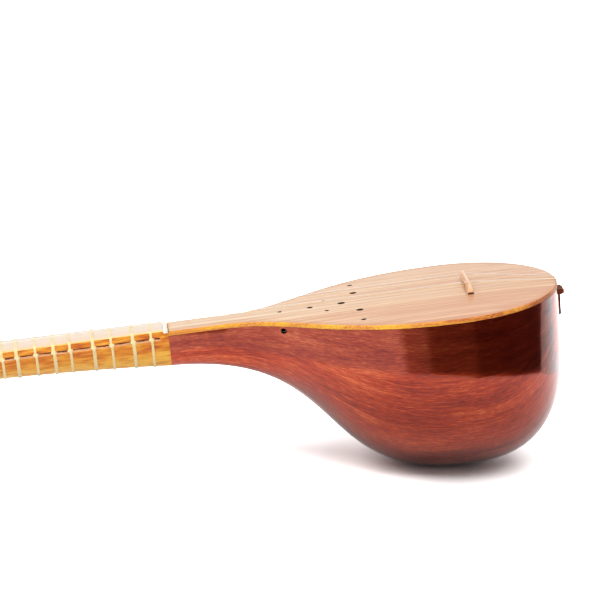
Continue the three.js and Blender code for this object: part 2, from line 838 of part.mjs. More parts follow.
const headBlock = new THREE.ExtrudeGeometry(headOutline(), {
  depth: headThickness - 2 * headBevel,
  bevelThickness: headBevel,
  bevelSize: headBevel,
  bevelOffset: -headBevel,
  bevelSegments: headBevelSteps,
  curveSegments: headCornerSteps,
}).translate(0, 0, headBack + headBevel);
const pegHoles = pegSeats.map(({ origin, turn, depth }) =>
  pegHole(depth).rotateX(turn).translate(origin.x, origin.y, origin.z));
place('head', cut(headBlock, pegHoles), finishes.walnut);

pegSeats.forEach(({ origin, turn, depth }, i) => {
  const peg = place(`peg_${i + 1}`, loft(pegRings(depth + pegWindRoom)), finishes.rosewood);
  peg.position.copy(origin);
  peg.rotation.x = turn;
});

// Strings: each one is a single wire from its end bead on the tailpiece to its turns on a peg
function touchAngle(from, centre, radius, sign) {
  const apart = from.clone().sub(centre);
  return apart.angle() + sign * Math.acos(Math.min(radius / apart.length(), 1));
}

// The turns of one wire on a peg, seen along the peg: flat(angle) and rise(turns) give its points
function pegWinding(from, centre, radius, sign, pointAt) {
  const start = touchAngle(from, centre, radius, sign);
  const count = windingTurns * windingSteps;
  return Array.from({ length: count + 1 }, (_, i) => {
    const turned = i / windingSteps;
    const angle = start + sign * turned * 2 * Math.PI;
    return pointAt(centre.x + radius * Math.cos(angle), centre.y + radius * Math.sin(angle), turned);
  });
}

function shaftRadiusAt(depth, above) {
  return pegTipRadius + (pegRadius - pegTipRadius) * (depth + above) / (depth + pegWindRoom);
}

function stringRoute(i) {
  const wire = stringDiameters[i];
  const lift = wire / 2 + seatGap;
  const { origin, depth } = pegSeats[i];
  const windingStart = (pegWindRoom - windingTurns * windingPitch) * windingStartShare;
  const shaft = shaftRadiusAt(depth, pegWindRoom);
  const radius = (shaft + wire / 2 + windingGap) / Math.cos(Math.PI / windingSteps);
  const tailY = tailStringPlaces[i];
  const hookX = tailFaceAt(tailY, hookTop) + hookReach;
  const nutPoint = new THREE.Vector3(
    nutPlace - nutLength / 2,
    nutStringPlaces[i],
    nutTopHeight - notchDepth + lift,
  );
  const route = [
    new THREE.Vector3(hookX + lift + wire, tailY, hookNose),
    new THREE.Vector3(hookX + lift, tailY, -hookTop),
    new THREE.Vector3(hookX - hookReach * stringRestShare, tailY, -hookTop + lift + wire),
    new THREE.Vector3(bodyLength + lift, tailY, lift),
    new THREE.Vector3(bridgePlace, bridgeStringPlaces[i], bridgeTopHeight - notchDepth + lift),
    nutPoint,
  ];
  if (i < frontPegPlaces.length) {
    const centre = new THREE.Vector2(origin.x, origin.y);
    const from = new THREE.Vector2(nutPoint.x, nutPoint.y);
    const height = headTop + windingStart;
    const winding = pegWinding(from, centre, radius, 1, (x, y, turned) =>
      new THREE.Vector3(x, y, height + turned * windingPitch));
    return { winding, route: [...route, ...winding] };
  }
  const edge = -headWidth / 2 - lift;
  const corner = new THREE.Vector3(origin.x + radius, edge, headTop + lift);
  const centre = new THREE.Vector2(origin.x, origin.z);
  const winding = pegWinding(new THREE.Vector2(corner.x, corner.z), centre, radius, -1, (x, z, turned) =>
    new THREE.Vector3(x, -headWidth / 2 - windingStart - turned * windingPitch, z));
  return { winding, route: [...route, corner, ...winding] };
}

let leastStringGap = Infinity;
stringDiameters.forEach((wire, i) => {
  const { winding, route } = stringRoute(i);
  leastStringGap = Math.min(leastStringGap, leastGap(winding, wire));
  const material = i === 0 || i === 2 ? finishes.steel : finishes.bronze;
  place(`string_${i + 1}`, tube(route, () => wire / 2), material);
});
console.log(`least gap of a string's winding to itself: ${leastStringGap.toFixed(2)} mm`);

// Resting pose: the instrument lies on the keel of its bowl and the end of its head
function pointsOf(name) {
  const position = instrument.getObjectByName(name).geometry.attributes.position;
  const indices = Array.from({ length: position.count }, (_, i) => i);
  return indices.map((i) => new THREE.Vector3().fromBufferAttribute(position, i));
}

function lowest(points, pitch) {
  return Math.min(...points.map((point) => point.x * Math.sin(pitch) + point.z * Math.cos(pitch)));
}

const keelPoints = pointsOf(`rib_${Math.ceil(ribCount / 2)}`);
const headPoints = pointsOf('head');
const headIsUp = (pitch) => lowest(headPoints, pitch) > lowest(keelPoints, pitch);
const restingPitch = lastWhere(headIsUp, 0, Math.PI / 4);
instrument.rotation.y = -restingPitch;
const setar = new THREE.Group();
setar.add(instrument);
setar.updateMatrixWorld(true);
const reach = new THREE.Box3().setFromObject(setar, true);
const middle = reach.getCenter(new THREE.Vector3());
instrument.position.set(-middle.x, -middle.y, -reach.min.z);

export default setar;
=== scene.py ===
# %% [markdown]
# # A setar
# A setar is a long-necked lute. Its bowl is a shell of thin bent staves, the ribs, and a thin
# soundboard closes it. The frets are lengths of gut tied round the slim neck, so a player can slide
# them. This lesson builds each piece as a maker would, from a few real sizes, and gives it its finish.

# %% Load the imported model
import json
import math

import bmesh
import bpy
from mathutils import Matrix, Vector
from mathutils.geometry import delaunay_2d_cdt
from mathutils.kdtree import KDTree

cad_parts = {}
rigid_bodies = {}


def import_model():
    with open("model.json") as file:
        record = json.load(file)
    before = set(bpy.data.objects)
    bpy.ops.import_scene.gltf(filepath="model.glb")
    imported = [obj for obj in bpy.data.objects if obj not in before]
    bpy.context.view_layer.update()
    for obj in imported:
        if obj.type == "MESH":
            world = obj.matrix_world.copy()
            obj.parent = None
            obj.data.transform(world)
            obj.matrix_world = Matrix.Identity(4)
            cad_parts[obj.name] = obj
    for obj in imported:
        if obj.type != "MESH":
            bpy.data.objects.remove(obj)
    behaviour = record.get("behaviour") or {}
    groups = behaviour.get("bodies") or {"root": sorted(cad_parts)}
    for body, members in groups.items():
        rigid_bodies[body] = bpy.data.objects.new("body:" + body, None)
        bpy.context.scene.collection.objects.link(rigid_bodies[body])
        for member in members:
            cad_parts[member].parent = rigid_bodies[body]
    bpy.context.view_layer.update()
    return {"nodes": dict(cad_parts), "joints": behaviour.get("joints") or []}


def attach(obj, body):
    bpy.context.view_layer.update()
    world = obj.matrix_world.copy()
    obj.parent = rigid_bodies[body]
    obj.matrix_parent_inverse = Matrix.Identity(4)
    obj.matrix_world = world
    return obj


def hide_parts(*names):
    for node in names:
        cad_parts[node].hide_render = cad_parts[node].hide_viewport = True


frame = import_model()

# %% [markdown]
# ## The instrument's own axes
# The instrument lies on its back, so it is tilted in the world. It is easier to build it level: x runs
# along the strings towards the tail, y across, and z up, with zero at the joint of neck and bowl and
# at the top of the soundboard's edge. The frets slide along x, so their joints give that direction.
# One matrix then turns level millimetres into the world's metres.

# %% From level millimetres to the world
MM = 0.001
BOARD_THICKNESS = 3.0
slide = next(joint for joint in frame["joints"] if joint["type"] == "slide")
along = Vector(slide["axis"]).normalized()
up = Vector((-along.z, 0, along.x))
rib_points = [vertex.co for vertex in frame["nodes"]["rib_1"].data.vertices]
neck_joint = min(point.dot(along) for point in rib_points)
board_top = max(point.dot(up) for point in rib_points) + BOARD_THICKNESS * MM
origin = along * neck_joint + up * board_top
lay = Matrix((
    (along.x * MM, 0, up.x * MM, origin.x),
    (0, MM, 0, 0),
    (along.z * MM, 0, up.z * MM, origin.z),
    (0, 0, 0, 1),
))
print("tilt in degrees:", round(math.degrees(math.asin(along.z)), 2))

# %% [markdown]
# ## Camera
# The photograph looks at the instrument's side from a little above, through a long lens, and the
# camera leans a few degrees. A long lens keeps the far edge of the bowl almost as large as the near
# one. The camera's angles are given against the level instrument, and its aim is a point on it.

# %% The camera
CAMERA_AZIMUTH = 3.4634
CAMERA_ELEVATION = 14.6095
CAMERA_ROLL = -6.4042
CAMERA_DISTANCE = 2415.1
CAMERA_AIM = Vector((93.2821, 0, 7.1406))
LENS = 210
SENSOR = 36
CAMERA_REACH = 50

turn = (
    Matrix.Rotation(math.radians(-CAMERA_AZIMUTH), 4, "Z")
    @ Matrix.Rotation(math.radians(90 - CAMERA_ELEVATION), 4, "X")
    @ Matrix.Rotation(math.radians(CAMERA_ROLL), 4, "Z")
)
camera_data = bpy.data.cameras.new("camera")
camera_data.lens = LENS
camera_data.sensor_width = SENSOR
camera_data.clip_end = CAMERA_REACH
camera = bpy.data.objects.new("camera", camera_data)
bpy.context.scene.collection.objects.link(camera)
place = Matrix.Translation(CAMERA_AIM) @ turn @ Matrix.Translation((0, 0, CAMERA_DISTANCE))
direction = (lay @ turn).to_3x3().normalized().to_4x4()
camera.matrix_world = Matrix.Translation(lay @ place.translation) @ direction
bpy.context.scene.camera = camera
print("camera stands at", [round(value, 3) for value in camera.matrix_world.translation])

# %% [markdown]
# ## Real sizes
# All sizes are millimetres. The bowl is 272 mm long and 155 mm wide, and a string sounds over 650 mm.

# %% Sizes of the bowl and the neck
BODY_LENGTH = 271.5
BODY_WIDTH = 154.6
BODY_DEPTH = 123.2
WIDEST = 0.7219 * BODY_LENGTH
DEEPEST = 0.72 * BODY_LENGTH
THROAT_WIDTH = 25.9
THROAT_DEPTH = 27.6
THROAT_RUN = 38
EDGE_LEAD_SHARE = 0.312
EDGE_ROUND_SHARE = 0.561
KEEL_RUN = 1
KEEL_LEAD_SHARE = 0.632
KEEL_ROUND_SHARE = 0.554
KEEL_LEAD_RISE = 5.2
TAIL_REACH = -1
TAIL_REACH_DEPTH = 30
TAIL_ROUNDING = 0.755
TAIL_END = 0.997
RIB_COUNT = 9
RIB_WALL = 3
RIB_SEAM = 0.12
BOARD_CROWN = 1.6

SCALE_LENGTH = 650
LAST_FRET_OCTAVES = 1.579
LAST_FRET_ROOM = 11.8
BRIDGE_SETBACK = 3.5
SOUNDING_END = SCALE_LENGTH * 2 ** -LAST_FRET_OCTAVES - LAST_FRET_ROOM
BRIDGE_PLACE = SOUNDING_END + BRIDGE_SETBACK
NUT_PLACE = SOUNDING_END - SCALE_LENGTH
NUT_TO_HEAD = 6
HEAD_PLACE = NUT_PLACE - NUT_TO_HEAD
NUT_WIDTH = 31.6
NECK_DEPTH_AT_NUT = 20
WAIST_RUN = 70
HEEL_RUN = 100
BOARD_RISE = 1.46
FINGERBOARD_THICKNESS = 2.2
NECK_TOP = BOARD_RISE - FINGERBOARD_THICKNESS
GLUE = 0.15

# %% [markdown]
# ## Wood
# A wood finish is four things laid over each other: a slow change of tone, long fibres, short pale
# flecks and short dark pores. Noise stretched along the grain gives all four, and fades make a wood
# lighter or darker from one place to another. Each piece carries its grain in an attribute, in
# millimetres along and across the fibres, so the grain bends with a bent rib. Under clear varnish,
# wood mirrors a little in its own colour, and the varnish mirrors in white on top.

# %% Node helpers
FLECK_RANGE = (0.45, 0.7)
PORE_RANGE = (0.56, 0.7)
BUMP_DEPTH = 0.05


def add(tree, kind, inputs=None, **settings):
    """A node with its settings, and its sockets set to values or linked to other sockets."""
    node = tree.nodes.new(kind)
    for key, value in settings.items():
        setattr(node, key, value)
    for key, value in (inputs or {}).items():
        socket = node.inputs[key]
        if isinstance(value, bpy.types.NodeSocket):
            tree.links.new(value, socket)
        else:
            socket.default_value = value
    return node


def math_node(tree, operation, *values):
    """The result of a sum on numbers or sockets."""
    inputs = dict(enumerate(values))
    return add(tree, "ShaderNodeMath", inputs, operation=operation).outputs[0]


def vector_node(tree, operation, vector, other, output=0):
    """The result of a sum on two vectors."""
    inputs = {0: vector, 1: other}
    return add(tree, "ShaderNodeVectorMath", inputs, operation=operation).outputs[output]


def xyz(tree, vector):
    """The three parts of a vector."""
    return add(tree, "ShaderNodeSeparateXYZ", {0: vector}).outputs


def vector_of(tree, *parts):
    """A vector from three parts."""
    return add(tree, "ShaderNodeCombineXYZ", dict(enumerate(parts))).outputs[0]


def bare_material(name):
    """A material without nodes, and its tree."""
    material = bpy.data.materials.new(name)
    material.use_nodes = True
    material.node_tree.nodes.clear()
    return material, material.node_tree


def new_material(name):
    """An empty material, its tree and its main shader."""
    material, tree = bare_material(name)
    shader = add(tree, "ShaderNodeBsdfPrincipled")
    add(tree, "ShaderNodeOutputMaterial", {"Surface": shader.outputs[0]})
    return material, tree, shader


def stretched_noise(tree, grain, run, across, detail=3.0):
    """Noise whose features are run long and across wide, in millimetres."""
    scaled = vector_node(tree, "MULTIPLY", grain, (1 / run, 1 / across, 1 / across))
    noise = add(tree, "ShaderNodeTexNoise", {"Vector": scaled, "Scale": 1.0, "Detail": detail})
    return noise.outputs[0]


def ramp(tree, factor, stops):
    """Colours at places from 0 to 1."""
    node = add(tree, "ShaderNodeValToRGB", {0: factor})
    elements = node.color_ramp.elements
    while len(elements) < len(stops):
        elements.new(0.5)
    for element, (position, colour) in zip(elements, stops):
        element.position = position
        element.color = (*colour, 1)
    return node.outputs[0]


def grain_of(tree, from_object=False):
    """A piece's grain in millimetres, from its attribute or from its place."""
    if from_object:
        place = add(tree, "ShaderNodeTexCoord").outputs["Object"]
        return vector_node(tree, "MULTIPLY", place, (1 / MM,) * 3)
    return add(tree, "ShaderNodeAttribute", attribute_name="grain").outputs["Vector"]


def limited(tree, value, low, high, at_low, at_high):
    """A value moved from one range to another, and held inside it."""
    node = add(tree, "ShaderNodeMapRange", {
        "Value": value, "From Min": low, "From Max": high, "To Min": at_low, "To Max": at_high,
    })
    return node.outputs[0]


def wood(name, stops, tone=(160, 22), fibre=(60, 1.1), fleck=(4, 0.7), pore=(6, 0.45),
         mix=(0.45, 0.45, 0.1), pore_dark=0.35, fades=(), shine=0.0, roughness=0.35, mirror=0.5,
         coat=1.0, coat_roughness=0.04, relief=0.25, from_object=False):
    """A varnished wood. stops are its tones from dark to light, and fades shift them by place."""
    material, tree, shader = new_material(name)
    grain = grain_of(tree, from_object)
    slow = stretched_noise(tree, grain, *tone, detail=2.0)
    fibres = stretched_noise(tree, grain, *fibre, detail=5.0)
    flecks = stretched_noise(tree, grain, *fleck, detail=2.0)
    flecks = limited(tree, flecks, *FLECK_RANGE, 0.0, 1.0)
    total = math_node(tree, "MULTIPLY", slow, mix[0])
    for part, share in ((fibres, mix[1]), (flecks, mix[2])):
        total = math_node(tree, "ADD", total, math_node(tree, "MULTIPLY", part, share))
    places = xyz(tree, grain)
    for axis, low, high, shift in fades:
        total = math_node(tree, "ADD", total, limited(tree, places[axis], low, high, 0.0, shift))
    pores = stretched_noise(tree, grain, *pore, detail=2.0)
    pores = limited(tree, pores, *PORE_RANGE, 1.0, 1.0 - pore_dark)
    mixed = add(tree, "ShaderNodeVectorMath", {0: ramp(tree, total, stops), "Scale": pores},
                operation="SCALE")
    tree.links.new(mixed.outputs[0], shader.inputs["Base Color"])
    height = math_node(tree, "MULTIPLY", fibres, pores)
    bump = add(tree, "ShaderNodeBump",
               {"Strength": relief, "Distance": BUMP_DEPTH * MM, "Height": height})
    tree.links.new(bump.outputs[0], shader.inputs["Normal"])
    shader.inputs["Metallic"].default_value = shine
    shader.inputs["Roughness"].default_value = roughness
    shader.inputs["Specular IOR Level"].default_value = mirror
    shader.inputs["Coat Weight"].default_value = coat
    shader.inputs["Coat Roughness"].default_value = coat_roughness
    return material


# %% The woods
mulberry = wood("mulberry", [
    (0.3, (0.11, 0.007, 0.002)),
    (0.44, (0.24, 0.018, 0.004)),
    (0.56, (0.35, 0.038, 0.008)),
    (0.7, (0.5, 0.1, 0.03)),
], tone=(70, 9), fibre=(16, 0.9), fleck=(5, 0.7), pore=(4, 0.45), mix=(0.44, 0.42, 0.14),
    pore_dark=0.3, fades=((0, 300, 130, 0.08),), shine=0.92, roughness=0.13, coat=0.5,
    coat_roughness=0.03)
board_wood = wood("board_wood", [
    (0.34, (0.6, 0.27, 0.13)),
    (0.48, (0.76, 0.48, 0.27)),
    (0.62, (0.85, 0.66, 0.46)),
], tone=(900, 5), fibre=(420, 1.0), fleck=(20, 1.6), pore=(10, 0.5), mix=(0.35, 0.6, 0.05),
    pore_dark=0.15, fades=((0, 20, 240, -0.09), (0, 100, 0, 0.04), (1, 0, -70, -0.05),
                           (2, 0.35, 0.0, -0.1)),
    coat=0.3, coat_roughness=0.18, roughness=0.45, mirror=0.3)
edge_wood = wood("edge_wood", [
    (0.3, (0.42, 0.1, 0.02)),
    (0.42, (0.72, 0.26, 0.05)),
    (0.56, (0.92, 0.5, 0.03)),
], tone=(80, 10), fibre=(50, 0.7), pore_dark=0.08, fades=((0, 180, 262, -0.15),), coat=0.1,
    roughness=0.4, mirror=0.2)
walnut = wood("walnut", [
    (0.32, (0.4, 0.08, 0.006)),
    (0.44, (0.68, 0.17, 0.012)),
    (0.54, (0.8, 0.29, 0.018)),
    (0.68, (1.0, 0.52, 0.07)),
], tone=(14, 3), fibre=(12, 0.8), fleck=(9, 0.8), pore=(4, 0.5), mix=(0.6, 0.34, 0.06),
    pore_dark=0.25, fades=((2, -11, -20, 0.2), (2, -7, -2, 0.02)), coat=0.15, roughness=0.4,
    mirror=0.2)
boxwood = wood("boxwood", [
    (0.3, (0.82, 0.55, 0.3)),
    (0.5, (0.83, 0.62, 0.44)),
    (0.7, (0.8, 0.67, 0.57)),
], tone=(200, 5), fibre=(90, 0.8), pore_dark=0.1, fades=((1, -15, 12, 0.2),),
    coat=0.3, coat_roughness=0.2, mirror=0.3)
bridge_wood = wood("bridge_wood", [
    (0.34, (0.78, 0.43, 0.23)),
    (0.66, (0.93, 0.61, 0.38)),
], tone=(60, 3), fibre=(20, 0.6), pore_dark=0.1, coat=0.2, mirror=0.3)
# A golden wood that paints the highlight along the fingerboard's rounded corner.
corner_highlight_wood = wood("corner_highlight_wood", [
    (0.36, (0.86, 0.5, 0.13)),
    (0.6, (0.98, 0.68, 0.26)),
], tone=(60, 4), fibre=(30, 0.6), pore_dark=0.1, coat=0.3, coat_roughness=0.1, mirror=0.3)
# A pale wood that paints a highlight on the lower lip of the neck's groove.
lip_highlight_wood = wood("lip_highlight_wood", [
    (0.36, (0.88, 0.4, 0.14)),
    (0.6, (0.96, 0.6, 0.32)),
], tone=(9, 2), fibre=(6, 0.5), pore_dark=0.3, coat=0.2, mirror=0.3)
# Rosewood for the pegs. The same finish paints the shade in the neck's groove.
rosewood = wood("rosewood", [
    (0.34, (0.04, 0.006, 0.002)),
    (0.5, (0.17, 0.025, 0.006)),
    (0.66, (0.36, 0.075, 0.016)),
], tone=(25, 3), fibre=(14, 0.6), fleck=(3, 0.4), pore=(3, 0.3), coat=0.3, coat_roughness=0.1,
    mirror=0.3)
tail_wood = wood("tail_wood", [
    (0.34, (0.1, 0.015, 0.004)),
    (0.66, (0.3, 0.07, 0.016)),
], tone=(6, 2), fibre=(8, 0.5), pore=(3, 0.3), coat=0.0, roughness=0.6, mirror=0.15)
# A nearly black finish that paints shade on the walls of the sound holes and at the ends of the
# bridge's feet.
painted_shade_wood = wood("painted_shade_wood", [
    (0.3, (0.02, 0.006, 0.003)),
    (0.7, (0.09, 0.028, 0.012)),
], coat=0.1, roughness=0.8)
spruce = wood("spruce", [
    (0.34, (0.55, 0.38, 0.2)),
    (0.66, (0.75, 0.58, 0.36)),
], coat=0.0, roughness=0.7, from_object=True)
print("woods:", mulberry.name, board_wood.name, walnut.name, boxwood.name, rosewood.name)

# %% [markdown]
# ## Bone, gut and wire
# Bone is pale and dense, and light goes a little way into it. Gut is twisted, so a fine spiral runs
# round it, and it glows where light passes through. A plain steel wire is bright, and the bronze
# string is the same wire in a warmer metal.

# %% The other finishes
SOFT_RELIEF = 0.3
LIGHT_SHARE = 0.3
LIGHT_REACH = (1.0, 0.75, 0.45)


def soft_finish(name, low, high, run, across, roughness, depth, coat=0.0):
    """A pale material that light enters, with a faint stretched pattern."""
    material, tree, shader = new_material(name)
    grain = grain_of(tree)
    noise = stretched_noise(tree, grain, run, across)
    tree.links.new(ramp(tree, noise, [(0.35, low), (0.65, high)]), shader.inputs["Base Color"])
    bump = add(tree, "ShaderNodeBump",
               {"Strength": SOFT_RELIEF, "Distance": BUMP_DEPTH * MM, "Height": noise})
    tree.links.new(bump.outputs[0], shader.inputs["Normal"])
    shader.inputs["Roughness"].default_value = roughness
    shader.inputs["Subsurface Weight"].default_value = LIGHT_SHARE
    shader.inputs["Subsurface Radius"].default_value = LIGHT_REACH
    shader.inputs["Subsurface Scale"].default_value = depth * MM
    shader.inputs["Coat Weight"].default_value = coat
    return material


def metal_finish(name, low, high, run, across, roughness):
    """A drawn wire, with fine marks along it."""
    material, tree, shader = new_material(name)
    noise = stretched_noise(tree, grain_of(tree), run, across)
    tree.links.new(ramp(tree, noise, [(0.3, low), (0.7, high)]), shader.inputs["Base Color"])
    shader.inputs["Metallic"].default_value = 1.0
    shader.inputs["Roughness"].default_value = roughness
    return material


bone = soft_finish("bone", (0.82, 0.77, 0.66), (0.93, 0.9, 0.82), 6, 0.8, 0.3, 1.0, coat=0.4)
gut = soft_finish("gut", (1.0, 0.76, 0.36), (1.0, 0.88, 0.52), 1.2, 0.25, 0.4, 0.15, coat=0.25)
steel = metal_finish("steel", (0.86, 0.87, 0.88), (0.97, 0.97, 0.98), 8, 0.05, 0.3)
bronze = metal_finish("bronze", (0.82, 0.62, 0.38), (0.95, 0.78, 0.54), 0.3, 2, 0.3)
print("finishes:", bone.name, gut.name, steel.name, bronze.name)

# %% [markdown]
# ## From a mesh to a piece
# Every piece ends the same way: its mesh is laid in the world, its creases are marked, it rides on a
# body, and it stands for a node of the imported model.

# %% Finishing a piece
CREASE = math.radians(38)
DOUBLE_GAP = 1e-4
scene_objects = bpy.context.scene.collection.objects


def set_grain(mesh, values):
    """Stores where each vertex lies along and across the grain."""
    layer = mesh.attributes.get("grain") or mesh.attributes.new("grain", "FLOAT_VECTOR", "POINT")
    layer.data.foreach_set("vector", [number for value in values for number in value])


def finish_piece(name, mesh, node, body, slot, *materials):
    """A finished piece from a level mesh in millimetres."""
    mesh.transform(lay)
    mesh.name = name
    kinds = [face.material_index for face in mesh.polygons]
    mesh.materials.clear()
    for material in materials:
        mesh.materials.append(material)
    mesh.polygons.foreach_set("material_index", kinds)
    mesh.set_sharp_from_angle(angle=CREASE)
    piece = bpy.data.objects.new(name, mesh)
    scene_objects.link(piece)
    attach(piece, body)
    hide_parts(node)
    return piece


def settled(holder):
    """The evaluated mesh of an object, and the object removed."""
    graph = bpy.context.evaluated_depsgraph_get()
    mesh = bpy.data.meshes.new_from_object(
        holder.evaluated_get(graph), preserve_all_data_layers=True, depsgraph=graph)
    bpy.data.objects.remove(holder)
    return mesh


def paint_faces(mesh, pick):
    """Gives each face the number of its material, picked by its place."""
    mesh.polygons.foreach_set("material_index", [pick(face.center) for face in mesh.polygons])


def holder_of(mesh):
    """A passing object that carries a mesh while modifiers work on it."""
    holder = bpy.data.objects.new("holder", mesh)
    scene_objects.link(holder)
    return holder


def outward(mesh):
    """Doubles merged, and faces turned outwards."""
    work = bmesh.new()
    work.from_mesh(mesh)
    bmesh.ops.remove_doubles(work, verts=work.verts, dist=DOUBLE_GAP)
    bmesh.ops.recalc_face_normals(work, faces=work.faces)
    for face in work.faces:
        face.smooth = True
    work.to_mesh(mesh)
    work.free()
    return mesh


# %% [markdown]
# ## The bowl's two lines
# The bowl's shape follows a rule. One line is the edge of the soundboard, seen from above. The other
# is the keel, seen from the side. Between the two, a rib's point turns round on an ellipse. The edge
# first runs straight from the throat, and the keel drops away at once. Each line then swells in one
# smooth curve and closes round the tail.

# %% The edge line and the keel line
ROWS_FORE = 90
ROWS_TAIL = 80
CURVE_STEPS = 600
CLOSING_STEPS = 30
KEEL_TAIL_STEPS = 1000


def swelling(run, start, peak_place, peak, lead, rounding, rise=0.0):
    """A straight run, then one Bezier curve up to the peak. A rise makes it leave at a slant."""
    span = peak_place - run
    corners = [(run, start), (run + span * lead, start + rise),
               (peak_place - span * rounding, peak), (peak_place, peak)]
    points = [(0.0, float(start))]
    for step in range(CURVE_STEPS + 1):
        t = step / CURVE_STEPS
        weights = ((1 - t) ** 3, 3 * (1 - t) ** 2 * t, 3 * (1 - t) * t * t, t ** 3)
        points.append(tuple(sum(w * c[axis] for w, c in zip(weights, corners)) for axis in (0, 1)))
    return points


def running_lengths(points):
    """How far along its line each point lies."""
    lengths = [0.0]
    for (x0, y0), (x1, y1) in zip(points, points[1:]):
        lengths.append(lengths[-1] + math.hypot(x1 - x0, y1 - y0))
    return lengths


def evenly(points, count):
    """The same line with count equal steps."""
    lengths = running_lengths(points)
    result = []
    at = 0
    for step in range(count + 1):
        goal = lengths[-1] * step / count
        while at < len(lengths) - 2 and lengths[at + 1] < goal:
            at += 1
        share = (goal - lengths[at]) / max(lengths[at + 1] - lengths[at], 1e-9)
        start, end = points[at], points[at + 1]
        result.append(tuple(a + (b - a) * min(share, 1.0) for a, b in zip(start, end)))
    return result


def keel_tail():
    """The keel from its deepest place round the tail and up to the board."""
    points = []
    for step in range(CURVE_STEPS + 1):
        angle = step / CURVE_STEPS * math.pi / 2
        points.append((
            DEEPEST + (BODY_LENGTH + TAIL_REACH - DEEPEST) * math.sin(angle) ** TAIL_ROUNDING,
            TAIL_REACH_DEPTH
            + (BODY_DEPTH - TAIL_REACH_DEPTH) * max(math.cos(angle), 0) ** TAIL_ROUNDING,
        ))
    for step in range(1, CLOSING_STEPS + 1):
        share = step / CLOSING_STEPS
        points.append((BODY_LENGTH + TAIL_REACH * (1 - share ** 2),
                       TAIL_REACH_DEPTH + (BOARD_THICKNESS - TAIL_REACH_DEPTH) * share))
    return points


def edge_tail(share):
    """The edge line's tail, a quarter of an ellipse."""
    angle = share * math.pi / 2
    return (WIDEST + (BODY_LENGTH - WIDEST) * math.sin(angle), BODY_WIDTH / 2 * math.cos(angle))


edge_swell = swelling(THROAT_RUN, THROAT_WIDTH / 2, WIDEST, BODY_WIDTH / 2,
                      EDGE_LEAD_SHARE, EDGE_ROUND_SHARE)
keel_swell = swelling(KEEL_RUN, THROAT_DEPTH, DEEPEST, BODY_DEPTH,
                      KEEL_LEAD_SHARE, KEEL_ROUND_SHARE, KEEL_LEAD_RISE)
edge_fore = evenly(edge_swell, ROWS_FORE)
keel_fore = evenly(keel_swell, ROWS_FORE)
keel_tail_line = evenly(keel_tail(), KEEL_TAIL_STEPS)
tail_shares = [TAIL_END * step / ROWS_TAIL for step in range(1, ROWS_TAIL + 1)]
edge_line = edge_fore + [edge_tail(share) for share in tail_shares]
keel_line = keel_fore + [keel_tail_line[round(share * KEEL_TAIL_STEPS)] for share in tail_shares]
print("rows from throat to tail:", len(edge_line))

# %% [markdown]
# ## Ribs with Geometry Nodes
# Nine ribs differ only in the two angles between which they lie, so one node tree makes them all. It
# starts from a flat grid, reads both lines row by row, and moves each vertex to its place on the bowl.
# It also stores the grain, which runs straight along the middle of each rib, as in a bent stave.

# %% The node tree of a rib
def new_tree(name, sockets, output=("Geometry", "NodeSocketGeometry")):
    """A geometry node group with named inputs and one output."""
    tree = bpy.data.node_groups.new(name, "GeometryNodeTree")
    tree.interface.new_socket(output[0], in_out="OUTPUT", socket_type=output[1])
    for label, kind in sockets:
        tree.interface.new_socket(label, in_out="INPUT", socket_type=kind)
    return tree, add(tree, "NodeGroupInput").outputs


def with_grain(tree, geometry, grain):
    """Geometry that stores its grain at each vertex."""
    inputs = {"Geometry": geometry, "Name": "grain", "Value": grain}
    return add(tree, "GeometryNodeStoreNamedAttribute", inputs, data_type="FLOAT_VECTOR",
               domain="POINT").outputs[0]


def end_tree(tree, geometry, material):
    """The last steps of a tree: shaded smooth, made real, and given its material."""
    smooth = add(tree, "GeometryNodeSetShadeSmooth", {"Geometry": geometry}).outputs[0]
    real = add(tree, "GeometryNodeRealizeInstances", {0: smooth}).outputs[0]
    painted = add(tree, "GeometryNodeSetMaterial", {"Geometry": real, "Material": material})
    add(tree, "NodeGroupOutput", {0: painted.outputs[0]})
    return tree


def bowl_point_group():
    """A point of the bowl between the edge line and the keel line."""
    tree, given = new_tree("bowl point", [
        ("Edge", "NodeSocketVector"), ("Keel", "NodeSocketVector"),
        ("Angle", "NodeSocketFloat"), ("Board", "NodeSocketFloat"),
    ], ("Point", "NodeSocketVector"))
    edge, keel = xyz(tree, given["Edge"]), xyz(tree, given["Keel"])
    sine = math_node(tree, "SINE", given["Angle"])
    cosine = math_node(tree, "COSINE", given["Angle"])
    squared = math_node(tree, "MULTIPLY", cosine, cosine)
    lead = math_node(tree, "MULTIPLY", math_node(tree, "SUBTRACT", edge[0], keel[0]), squared)
    x = math_node(tree, "ADD", keel[0], lead)
    y = math_node(tree, "MULTIPLY", math_node(tree, "MULTIPLY", edge[1], cosine), -1.0)
    drop = math_node(tree, "MULTIPLY", math_node(tree, "SUBTRACT", keel[1], given["Board"]), sine)
    z = math_node(tree, "MULTIPLY", math_node(tree, "ADD", drop, given["Board"]), -1.0)
    add(tree, "NodeGroupOutput", {0: vector_of(tree, x, y, z)})
    return tree


